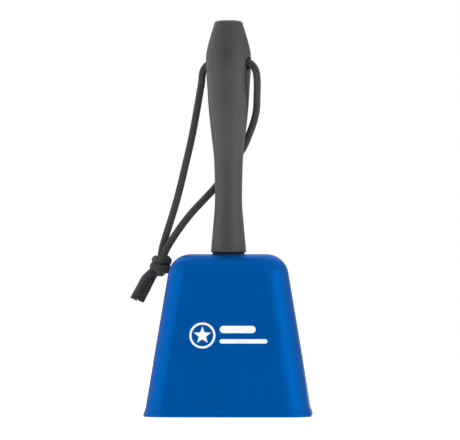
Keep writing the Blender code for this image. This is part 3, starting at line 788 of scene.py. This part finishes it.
def make_screw(steel):
    """Pan-head screw: domed head with a cross recess, plain neck, and a threaded shank."""
    low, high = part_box("mounting_screw")
    head_radius = high.x
    bearing_z = low.z + SCREW_HEAD_HEIGHT
    radius, edge, pitch = SCREW_RADIUS, SCREW_HEAD_ROUND, THREAD_PITCH
    profile = [(0.3 * MM, low.z)]
    profile += arc((head_radius - edge, low.z + edge), edge, -90.0, 0.0, 12)
    profile += [(head_radius, bearing_z - 0.1 * MM), (head_radius - 0.1 * MM, bearing_z), (radius, bearing_z)]
    thread_start = bearing_z + 4.0 * MM
    per_turn = 10
    count = round((high.z - 1.0 * MM - thread_start) / pitch * per_turn)
    heights = [thread_start + pitch * index / per_turn for index in range(count + 1)]
    profile += [(radius, height) for height in heights]
    profile += [(radius - 0.7 * MM, high.z), (0.3 * MM, high.z)]
    angles = full_turn(96)
    rings = turned_rings(profile, angles)
    for ring in rings:
        if thread_start <= ring[0].z <= heights[-1]:
            for angle, point in zip(angles, ring):
                phase = ((point.z - thread_start) / pitch - angle / (2.0 * math.pi)) % 1.0
                depth = THREAD_DEPTH * (1.0 - abs(2.0 * phase - 1.0))
                scale = 1.0 - depth / radius
                point.x *= scale
                point.y *= scale
    screw = add_mesh("mounting_screw_body", skin_rings(rings), steel, sharp=40.0)
    cutters = []
    for turn in (0.0, math.pi / 2.0):
        mesh_data = bmesh.new()
        bmesh.ops.create_cone(
            mesh_data, cap_ends=True, segments=4, radius1=1.0, radius2=0.45, depth=3.4 * MM,
            matrix=Matrix.Rotation(math.pi / 4.0, 4, "Z"),
        )
        scale = Matrix.Diagonal((4.8 * MM * 0.7071, 1.1 * MM * 0.7071, 1.0, 1.0))
        mesh_data.transform(Matrix.Translation((0.0, 0.0, low.z)) @ Matrix.Rotation(turn, 4, "Z") @ scale)
        cutters.append(add_mesh("recess_cutter", mesh_data, steel))
    cut(screw, *cutters)
    screw.data.set_sharp_from_angle(angle=math.radians(35.0))
    return put(screw, "root", "fixing_steel", "mounting_screw")


# ---------------------------------------------------------------- clapper


def make_hanger(steel):
    """Strap bent to an upside-down U, punched for the screw and the rivet, with softened edges."""
    low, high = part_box("clapper_hanger")
    strap = 1.5 * MM
    bend = 1.0 * MM
    outer_bend = bend + strap
    inner_half = high.x - strap
    outer = arc((high.x - outer_bend, high.z - outer_bend), outer_bend, 0.0, 90.0, 14)
    inner = arc((inner_half - bend, high.z - strap - bend), bend, 90.0, 0.0, 14)
    right = [(high.x, low.z), *outer]
    back = [*inner, (inner_half, low.z)]
    outline = right + [(-x, z) for x, z in reversed(right)] + [(-x, z) for x, z in reversed(back)] + back
    mesh_data = bmesh.new()
    front = [mesh_data.verts.new((x, low.y, z)) for x, z in outline]
    face = mesh_data.faces.new(front)
    moved = bmesh.ops.extrude_face_region(mesh_data, geom=[face])
    behind = [item for item in moved["geom"] if isinstance(item, bmesh.types.BMVert)]
    bmesh.ops.translate(mesh_data, verts=behind, vec=(0.0, high.y - low.y, 0.0))
    corners = [
        edge for edge in mesh_data.edges
        if all(abs(vert.co.z - low.z) < 1e-6 for vert in edge.verts)
        and abs(edge.verts[0].co.y - edge.verts[1].co.y) < 1e-6
    ]
    bmesh.ops.bevel(
        mesh_data, geom=corners, offset=4.0 * MM, offset_type="OFFSET", segments=16,
        profile=0.5, affect="EDGES",
    )
    hanger = add_mesh("clapper_hanger_body", mesh_data, steel)
    screw_place, pin_place = (0.0, 0.0, high.z), (0.0, 0.0, PIN_Z)
    pin_hole_radius = PIN_RADIUS + 0.3 * MM
    screw_hole = cylinder("hanger_screw_hole", SCREW_HOLE_RADIUS, 10.0 * MM, screw_place, (0, 0, 1), steel)
    pin_hole = cylinder("hanger_pin_hole", pin_hole_radius, 30.0 * MM, pin_place, (1, 0, 0), steel)
    cut(hanger, screw_hole, pin_hole)
    bevel = hanger.modifiers.new("soft_edges", "BEVEL")
    bevel.width = 0.18 * MM
    bevel.segments = 3
    bevel.limit_method = "ANGLE"
    bevel.angle_limit = math.radians(50.0)
    bpy.context.view_layer.update()
    apply_modifiers(hanger)
    hanger.data.shade_smooth()
    hanger.data.set_sharp_from_angle(angle=math.radians(40.0))
    return put(hanger, "root", "fixing_steel", "clapper_hanger")


def make_pin(steel):
    """Rivet: one factory head and one peened head."""
    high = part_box("hanger_pin")[1]
    head_radius = high.z - PIN_Z
    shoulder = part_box("clapper_hanger")[1].x + 0.1 * MM
    tip = high.x
    factory = [(0.2 * MM, tip), (1.2 * MM, tip - 0.05 * MM), (2.1 * MM, tip - 0.32 * MM)]
    factory += [(head_radius - 0.05 * MM, tip - 0.75 * MM)]
    factory += [(head_radius, shoulder + 0.15 * MM), (head_radius, shoulder)]
    peened = [(0.2 * MM, tip - 0.30 * MM), (1.3 * MM, tip - 0.26 * MM), (2.0 * MM, tip - 0.50 * MM)]
    peened += [(2.5 * MM, tip - 0.85 * MM), (2.4 * MM, shoulder)]
    profile = [(radius, -height) for radius, height in peened]
    profile += [(PIN_RADIUS, -shoulder), (PIN_RADIUS, shoulder)]
    profile += list(reversed(factory))
    mesh_data = skin_rings(turned_rings(profile, full_turn(64)))
    turn = Matrix.Translation((0.0, 0.0, PIN_Z)) @ Matrix.Rotation(math.pi / 2.0, 4, "Y")
    mesh_data.transform(turn)
    return put(add_mesh("hanger_pin_body", mesh_data, steel), "root", "fixing_steel", "hanger_pin")


def make_ring(steel):
    """Wire ring in the YZ plane, with the shallow groove of its butt joint on the upper back."""
    low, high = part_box("clapper_ring")
    centre_z = 0.5 * (low.z + high.z)
    joint = math.radians(55.0)
    rings = []
    for turn in full_turn(160):
        outwards = Vector((0.0, math.cos(turn), math.sin(turn)))
        groove = math.exp(-(((turn - joint) * RING_RADIUS) / (0.12 * MM)) ** 2)
        section = arc((RING_RADIUS, 0.0), WIRE_RADIUS * (1.0 - 0.16 * groove), 0.0, 345.0, 23)
        rings.append([outwards * r + Vector((side, 0.0, centre_z)) for r, side in section])
    ring = add_mesh("clapper_ring_body", skin_rings(rings, joined=True), steel)
    return put(ring, "ring", "clapper_steel", "clapper_ring")


def sweep_frames(points):
    """Tangent and two crosswise directions at each point, carried along without twisting."""
    tangents = []
    for index in range(len(points)):
        before, after = points[max(index - 1, 0)], points[min(index + 1, len(points) - 1)]
        tangents.append((after - before).normalized())
    helper = Vector((0.0, 1.0, 0.0)) if abs(tangents[0].y) < 0.8 else Vector((1.0, 0.0, 0.0))
    first = tangents[0].cross(helper).normalized()
    frames = []
    for index, tangent in enumerate(tangents):
        if index:
            first = tangents[index - 1].rotation_difference(tangent) @ first
        first = (first - tangent * first.dot(tangent)).normalized()
        frames.append((tangent, first, tangent.cross(first)))
    return frames


def swept(points, radii, sides):
    """Rings of a round tube along points, with a radius at each."""
    rings = []
    turns = full_turn(sides)
    for point, radius, (_, first, second) in zip(points, radii, sweep_frames(points)):
        rings.append([point + (first * math.cos(a) + second * math.sin(a)) * radius for a in turns])
    return rings


def make_rod(steel):
    """Wire rod bent into an eye at the top; its cut end is rounded over."""
    tip_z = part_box("clapper_rod")[0].z - SWING_Z
    eye = [Vector((x, 0.0, z)) for x, z in arc((0.0, -EYE_DROP), EYE_RADIUS, -48.0, 228.0, 72)]
    neck = [(-0.75, -4.00), (-0.10, -5.60), (0.0, -8.00), (0.0, -20.0)]
    neck_points = [Vector((x * MM, 0.0, z * MM)) for x, z in neck]
    bend = smooth_curve([eye[-1], *neck_points, Vector((0.0, 0.0, tip_z))], 14)
    points = [point + Vector((0.0, 0.0, SWING_Z)) for point in eye + bend[1:]]
    radii = [WIRE_RADIUS] * len(points)
    radii[0] = 0.72 * WIRE_RADIUS
    radii[1] = 0.94 * WIRE_RADIUS
    rod = add_mesh("clapper_rod_body", skin_rings(swept(points, radii, 28)), steel)
    return put(rod, "clapper", "clapper_steel", "clapper_rod")


def make_ball(steel):
    """Turned steel ball with a small flat and a chamfered hole at the top."""
    low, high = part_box("clapper_ball")
    radius = high.x
    centre_z = low.z + radius
    top_angle = math.degrees(math.acos(BALL_FLAT_RADIUS / radius))
    profile = arc((0.0, centre_z), radius, -88.5, top_angle, 90)
    profile += [(2.0 * MM, profile[-1][1] - 0.02 * MM), (BALL_HOLE_RADIUS, profile[-1][1] - 0.42 * MM)]
    bottom = centre_z + radius - BALL_HOLE_DEPTH
    profile += [(BALL_HOLE_RADIUS, bottom), (0.2 * BALL_HOLE_RADIUS, bottom)]
    ball = turned("clapper_ball_body", profile, steel, 128)
    return put(ball, "clapper", "clapper_steel", "clapper_ball")


# ---------------------------------------------------------------- cord


def braid_heights(around, along):
    """Radius factor of a two-over, two-under braid. Both coordinates are arrays, in turns."""
    first = BRAID_YARNS * (around - along)
    second = BRAID_YARNS * (around + along)
    place = np.mod(np.floor(first) + np.floor(second), 4.0)
    first_part, second_part = np.mod(first, 1.0), np.mod(second, 1.0)
    first_on_top = place < 1.5
    across = np.where(first_on_top, first_part, second_part)
    along_float = np.where(first_on_top, place + second_part, place - 2.0 + first_part) / 2.0
    dome = np.sqrt(np.clip(1.0 - (2.0 * across - 1.0) ** 2, 0.0, 1.0))
    rise = np.sin(np.pi * along_float)
    return BRAID_FLOOR + BRAID_RISE * dome * (0.45 + 0.55 * rise)


def braided_mesh(points, start_along, squeeze):
    """Vertices, quads and UVs of a braided tube along evenly spaced points."""
    frames = sweep_frames(points)
    count = len(points)
    centres = np.array([tuple(point) for point in points])
    firsts = np.array([tuple(f[1]) for f in frames])
    seconds = np.array([tuple(f[2]) for f in frames])
    steps = np.linalg.norm(np.diff(centres, axis=0), axis=1)
    along = np.concatenate([[0.0], np.cumsum(steps)]) / BRAID_PITCH + start_along
    around = np.arange(CORD_SIDES) / CORD_SIDES
    grid_around, grid_along = np.meshgrid(around, along)
    radius = CORD_RADIUS * braid_heights(grid_around, grid_along)
    radius = radius * squeeze[:, None]
    angle = 2.0 * np.pi * grid_around
    place = centres[:, None, :] + radius[..., None] * (
        np.cos(angle)[..., None] * firsts[:, None, :] + np.sin(angle)[..., None] * seconds[:, None, :]
    )
    vertices = place.reshape(-1, 3)
    row = np.arange(count - 1)[:, None] * CORD_SIDES
    column = np.arange(CORD_SIDES)[None, :]
    after = (column + 1) % CORD_SIDES
    start, end = row + column, row + after
    quads = np.stack([start, end, end + CORD_SIDES, start + CORD_SIDES], axis=-1)
    left = np.broadcast_to(around[None, :], (count - 1, CORD_SIDES))
    right = left + 1.0 / CORD_SIDES
    low = np.broadcast_to(along[:-1, None], (count - 1, CORD_SIDES))
    high = np.broadcast_to(along[1:, None], (count - 1, CORD_SIDES))
    uvs = np.stack([
        np.stack([left, low], -1), np.stack([right, low], -1),
        np.stack([right, high], -1), np.stack([left, high], -1),
    ], axis=2)
    return vertices, quads.reshape(-1, 4), uvs.reshape(-1, 4, 2)


def capped(vertices, quads, uvs, ends):
    """Close a braided tube's two ends with two shrinking rings and a centre point each."""
    vertices = [vertices]
    faces = [tuple(quad) for quad in quads]
    face_uvs = [tuple(map(tuple, uv)) for uv in uvs]
    total = len(vertices[0])
    for start, flip, bulge in ends:
        ring = vertices[0][start:start + CORD_SIDES]
        centre = ring.mean(axis=0)
        previous = list(range(start, start + CORD_SIDES))
        # Cap faces get the UV (0, 0), which lies on a yarn's edge, so the fibre material colours them with
        # its darkest painted crease shade.
        for share, rise in ((0.80, 0.75), (0.45, 1.0)):
            vertices.append(centre + (ring - centre) * share + bulge * rise)
            current = list(range(total, total + CORD_SIDES))
            total += CORD_SIDES
            for index in range(CORD_SIDES):
                after = (index + 1) % CORD_SIDES
                face = (previous[index], previous[after], current[after], current[index])
                faces.append(face[::-1] if flip else face)
                face_uvs.append(((0.0, 0.0),) * 4)
            previous = current
        vertices.append((centre + bulge * 1.05)[None, :])
        for index in range(CORD_SIDES):
            face = (previous[index], previous[(index + 1) % CORD_SIDES], total)
            faces.append(face[::-1] if flip else face)
            face_uvs.append(((0.0, 0.0),) * 3)
        total += 1
    return np.concatenate(vertices), faces, face_uvs


def braided_parts(routes):
    """One mesh's worth of braided tubes: each route is (points, start along, end bulge in metres, swell)."""
    all_vertices, all_faces, all_uvs = [], [], []
    offset = 0
    for points, start_along, end_bulge, swell in routes:
        shares = np.arange(len(points)) / (len(points) - 1)
        squeeze = 1.0 + swell * np.minimum(1.0, 2.0 * np.sin(np.pi * shares))
        vertices, quads, uvs = braided_mesh(points, start_along, squeeze)
        ahead = np.array(tuple((points[-1] - points[-2]).normalized()))
        ends = [(0, True, 0.0 * ahead), (len(vertices) - CORD_SIDES, False, ahead * end_bulge)]
        vertices, faces, face_uvs = capped(vertices, quads, uvs, ends)
        all_vertices.append(vertices)
        all_faces += [tuple(index + offset for index in face) for face in faces]
        all_uvs += face_uvs
        offset += len(vertices)
    return np.concatenate(all_vertices), all_faces, all_uvs


def braided_object(name, routes, material, extra=()):
    vertices, faces, uvs = braided_parts(routes)
    vertices = [tuple(vertex) for vertex in vertices]
    for more_vertices, more_faces in extra:
        start = len(vertices)
        vertices += [tuple(vertex) for vertex in more_vertices]
        faces += [tuple(index + start for index in face) for face in more_faces]
        uvs += [tuple(((0.3 + 0.01 * k), 0.1) for k in range(len(face))) for face in more_faces]
    mesh = bpy.data.meshes.new(name)
    mesh.from_pydata(vertices, [], faces)
    layer = mesh.uv_layers.new(name="braid")
    layer.data.foreach_set("uv", [value for face in uvs for corner in face for value in corner])
    mesh.validate()
    mesh.update()
    return add_object(name, mesh, material, sharp=180.0)


def loop_route():
    """The loop's centreline, from the knot up the left side, through the hole, and back to the knot."""
    left_end = KNOT_CENTRE + Vector((0.4, 1.3, 3.6)) * MM
    right_end = KNOT_CENTRE + Vector((1.7, -1.3, 3.6)) * MM
    return smooth_curve([left_end, *LEFT_STRAND, *HOLE_SPAN, *RIGHT_STRAND, right_end], 24)


def make_cord(material):
    points = even_points(loop_route(), CORD_STEP)
    cord = braided_object("lanyard_loop", [(points, 0.0, 0.0, 0.0)], material)
    return put(cord, "root", "cord_fibre", "cord_loop"), points


def knot_routes():
    """Centrelines of the two strands inside the knot, from points in millimetres from its centre.

    The upper one passes once round the top and leaves for the back tail. The lower one turns under
    the knot, passes round it below the first and leaves for the front tail.
    """
    upper = [
        (0.6, 0.6, 0.2), (2.6, 1.6, 0.4), (4.2, 0.6, 2.4), (3.6, -2.2, 3.4), (0.9, -3.5, 3.5),
        (-1.9, -2.6, 3.4), (-2.6, 0.2, 3.2), (-1.4, 2.8, 2.8), (1.2, 3.6, 2.4), (3.2, 2.6, 0.8),
        (2.2, 1.0, -1.6), (0.0, 1.0, -3.0), (-2.0, 1.3, -4.0), (-3.6, 1.5, -5.4),
    ]
    lower = [
        (0.4, -1.0, 0.6), (0.3, -1.9, -2.2), (0.3, -0.5, -4.2), (0.9, 1.8, -3.2), (3.0, 2.4, -2.2),
        (4.4, 0.0, -2.2), (3.4, -2.6, -2.3), (-0.2, -3.6, -1.9), (-3.1, -2.4, -1.1), (-3.9, -0.2, -0.6),
        (-2.8, 1.8, -0.6), (-1.0, 1.4, -1.6), (-1.8, -0.2, -2.8), (-3.4, -0.9, -3.3), (-4.8, -1.8, -3.9),
    ]
    return [
        even_points(smooth_curve([KNOT_CENTRE + Vector(point) * MM for point in strand], 12), CORD_STEP)
        for strand in (upper, lower)
    ]


def make_knot(material):
    routes = [(points, 0.37 * index, 0.0, KNOT_SWELL) for index, points in enumerate(knot_routes())]
    return put(braided_object("lanyard_knot", routes, material), "root", "cord_fibre", "cord_knot")


def yarn_stubs(tip, direction, dice):
    """Short stiff yarn ends that stand out of a cut end, singed round at their tips."""
    _, first, second = sweep_frames([tip, tip + direction])[0]
    stubs = []
    outer, inner = FRAY_YARNS
    for index in range(outer + inner):
        reach = CORD_RADIUS * (0.80 if index < outer else 0.38) * dice.uniform(0.92, 1.04)
        share = index / outer if index < outer else (index - outer) / inner
        angle = 2.0 * math.pi * share + dice.uniform(-0.12, 0.12)
        sideways = first * math.cos(angle) + second * math.sin(angle)
        start = tip - direction * 0.9 * MM + sideways * reach
        end = tip + direction * dice.uniform(0.15, 0.75) * MM + sideways * reach * dice.uniform(0.95, 1.12)
        points = [start.lerp(end, share) for share in (0.0, 0.35, 0.65, 0.85, 0.96, 1.0)]
        radii = [FRAY_YARN_RADIUS * size for size in (0.9, 1.0, 1.0, 0.95, 0.7, 0.3)]
        rings = swept(points, radii, FRAY_SIDES)
        vertices = [point for ring in rings for point in ring]
        faces = []
        for low in range(0, (len(rings) - 1) * FRAY_SIDES, FRAY_SIDES):
            high = low + FRAY_SIDES
            for side in range(FRAY_SIDES):
                after = (side + 1) % FRAY_SIDES
                faces.append((low + side, low + after, high + after, high + side))
        faces.append(tuple(reversed(range(FRAY_SIDES))))
        faces.append(tuple(range(len(vertices) - FRAY_SIDES, len(vertices))))
        stubs.append((vertices, faces))
    return stubs


def make_tails(material):
    """The two cut ends, each running out of the knot to a slightly frayed tip."""
    dice = random.Random(5)
    upper, lower = knot_routes()
    tails = []
    for name, node, tail, knot_end in (
        ("lanyard_tail_front", "cord_tail_front", FRONT_TAIL, lower),
        ("lanyard_tail_back", "cord_tail_back", BACK_TAIL, upper),
    ):
        points = even_points(smooth_curve([knot_end[-9], knot_end[-1], *tail], 16), CORD_STEP)
        direction = (points[-1] - points[-3]).normalized()
        points = points[:-2]
        stubs = yarn_stubs(points[-1], direction, dice)
        tails.append(put(
            braided_object(name, [(points, 0.6, 0.2 * MM, 0.0)], material, stubs), "root", "cord_fibre", node,
        ))
    return tails


# ---------------------------------------------------------------- studio

# Brightness of the studio round the object, by compass angle from the front, in degrees; + is to its right.
STUDIO_ROUND = [
    (-180, 0.28), (-158, 0.32), (-128, 0.92), (-75, 1.08), (-49, 1.00), (-41, 0.47), (8, 0.47), (28, 0.80),
    (52, 1.38), (74, 1.20), (98, 0.80), (122, 0.56), (155, 0.32), (180, 0.28),
]
STUDIO_ABOVE = 0.72
SOFTBOX_TOP = (0.36, 0.62)
# A brighter patch high behind the object: its direction, the cosines over which it fades in, its brightness.
SOFTBOX_BACK = (0.0, 0.64, 0.77)
SOFTBOX_BACK_FADE = (0.76, 0.92)
SOFTBOX_BACK_BRIGHTNESS = 1.25


def make_floor(material):
    """A round pale floor with a softened rim."""
    profile = [(0.02, 0.0), (0.30, 0.0), (0.60, 0.0), *arc((1.20, -0.05), 0.05, 90.0, 10.0, 6)]
    mesh_data = bmesh.new()
    loops = [[mesh_data.verts.new(point) for point in ring] for ring in turned_rings(profile, full_turn(96))]
    for inner, outer in zip(loops, loops[1:]):
        for index in range(len(inner)):
            after = (index + 1) % len(inner)
            mesh_data.faces.new((inner[index], outer[index], outer[after], inner[after]))
    mesh_data.faces.new(loops[0])
    mesh = bpy.data.meshes.new("studio_floor")
    mesh_data.to_mesh(mesh)
    mesh_data.free()
    floor = add_object("studio_floor", mesh, material, sharp=60.0)
    return floor


def make_world():
    """A white studio: plain white to look at, with darker front and top for soft edges on the object."""
    world = bpy.data.worlds.new("studio_world")
    world.use_nodes = True
    nodes, links = world.node_tree.nodes, world.node_tree.links

    def node(kind, feeds=(), **settings):
        made = nodes.new("ShaderNode" + kind)
        for name, value in settings.items():
            setattr(made, name, value)
        for name, value in dict(feeds).items():
            if isinstance(value, bpy.types.NodeSocket):
                links.new(value, made.inputs[name])
            else:
                made.inputs[name].default_value = value
        return made

    def mixed(factor, first, second):
        return node("Mix", {"Factor": factor, "A": first, "B": second}, data_type="RGBA").outputs["Result"]

    def faded(value, limits):
        feeds = {"Value": value, "From Min": limits[0], "From Max": limits[1]}
        return node("MapRange", feeds, interpolation_type="SMOOTHSTEP").outputs[0]

    place = node("TexCoord").outputs["Generated"]
    direction = node("SeparateXYZ", {0: place}).outputs
    front = node("Math", {0: direction[1], 1: -1.0}, operation="MULTIPLY").outputs[0]
    compass = node("Math", {0: direction[0], 1: front}, operation="ARCTAN2").outputs[0]
    turn = node("MapRange", {"Value": compass, "From Min": -math.pi, "From Max": math.pi}).outputs[0]
    ramp = node("ValToRGB", {"Fac": turn})
    elements = ramp.color_ramp.elements
    while len(elements) < len(STUDIO_ROUND):
        elements.new(0.5)
    for element, (angle, value) in zip(elements, STUDIO_ROUND):
        element.position = (angle + 180.0) / 360.0
        element.color = (value, value, value, 1.0)
    towards = node("VectorMath", {0: place, 1: SOFTBOX_BACK}, operation="DOT_PRODUCT").outputs["Value"]
    above = (*[STUDIO_ABOVE] * 3, 1.0)
    high_back = (*[SOFTBOX_BACK_BRIGHTNESS] * 3, 1.0)
    sky = mixed(faded(direction[2], SOFTBOX_TOP), ramp.outputs[0], above)
    sky = mixed(faded(towards, SOFTBOX_BACK_FADE), sky, high_back)
    seen = mixed(node("LightPath").outputs["Is Camera Ray"], sky, (1.0, 1.0, 1.0, 1.0))
    links.new(seen, nodes["Background"].inputs["Color"])
    bpy.context.scene.world = world


def add_softbox(name, place, target, size, power):
    light = bpy.data.lights.new(name, "AREA")
    light.shape = "RECTANGLE"
    light.size, light.size_y = size
    light.energy = power
    obj = bpy.data.objects.new(name, light)
    obj.location = place
    obj.rotation_mode = "QUATERNION"
    obj.rotation_quaternion = (Vector(target) - Vector(place)).to_track_quat("-Z", "Y")
    obj.visible_camera = False
    obj.visible_glossy = False
    bpy.context.scene.collection.objects.link(obj)


def make_lights():
    middle = (0.0, 0.0, 0.11)
    add_softbox("left_softbox", (-1.3, -0.5, 0.5), middle, (0.9, 1.4), 5.0)
    add_softbox("right_softbox", (1.2, -0.7, 0.5), middle, (0.9, 1.4), 4.0)


def make_camera():
    """Long lens, level, a little to the right of the bell's front."""
    azimuth = math.radians(2.0)
    distance = 3.2
    frame_width = 0.2768
    aim = Vector((0.0009, 0.0, 0.1176))
    sensor = 36.0
    data = bpy.data.cameras.new("photo_camera")
    data.sensor_width = sensor
    data.lens = sensor * distance / frame_width
    data.clip_start = 0.1
    data.clip_end = 60.0
    camera = bpy.data.objects.new("photo_camera", data)
    back = Vector((math.sin(azimuth), -math.cos(azimuth), 0.0))
    camera.location = aim + back * distance
    camera.rotation_mode = "QUATERNION"
    camera.rotation_quaternion = (-back).to_track_quat("-Z", "Y")
    bpy.context.scene.collection.objects.link(camera)
    bpy.context.scene.camera = camera


def build():
    bpy.context.scene.view_settings.view_transform = "Standard"
    outside, inside = enamel_paint(), inside_paint()
    steel, struck = zinc_steel(), clapper_steel()
    fibre = braided_fibre()
    make_camera()
    cord, route = make_cord(fibre)
    knot = make_knot(fibre)
    tails = make_tails(fibre)
    make_bell(outside, inside)
    make_print(print_ink())
    make_grip(grip_plastic())
    make_gasket(gasket_rubber())
    frame["nodes"]["handle_insert"].data.materials.clear()
    frame["nodes"]["handle_insert"].data.materials.append(brass())
    make_washers(steel)
    make_screw(steel)
    make_hanger(steel)
    make_pin(steel)
    make_ring(struck)
    make_rod(struck)
    make_ball(struck)
    make_floor(floor_paint())
    make_world()
    make_lights()


build()
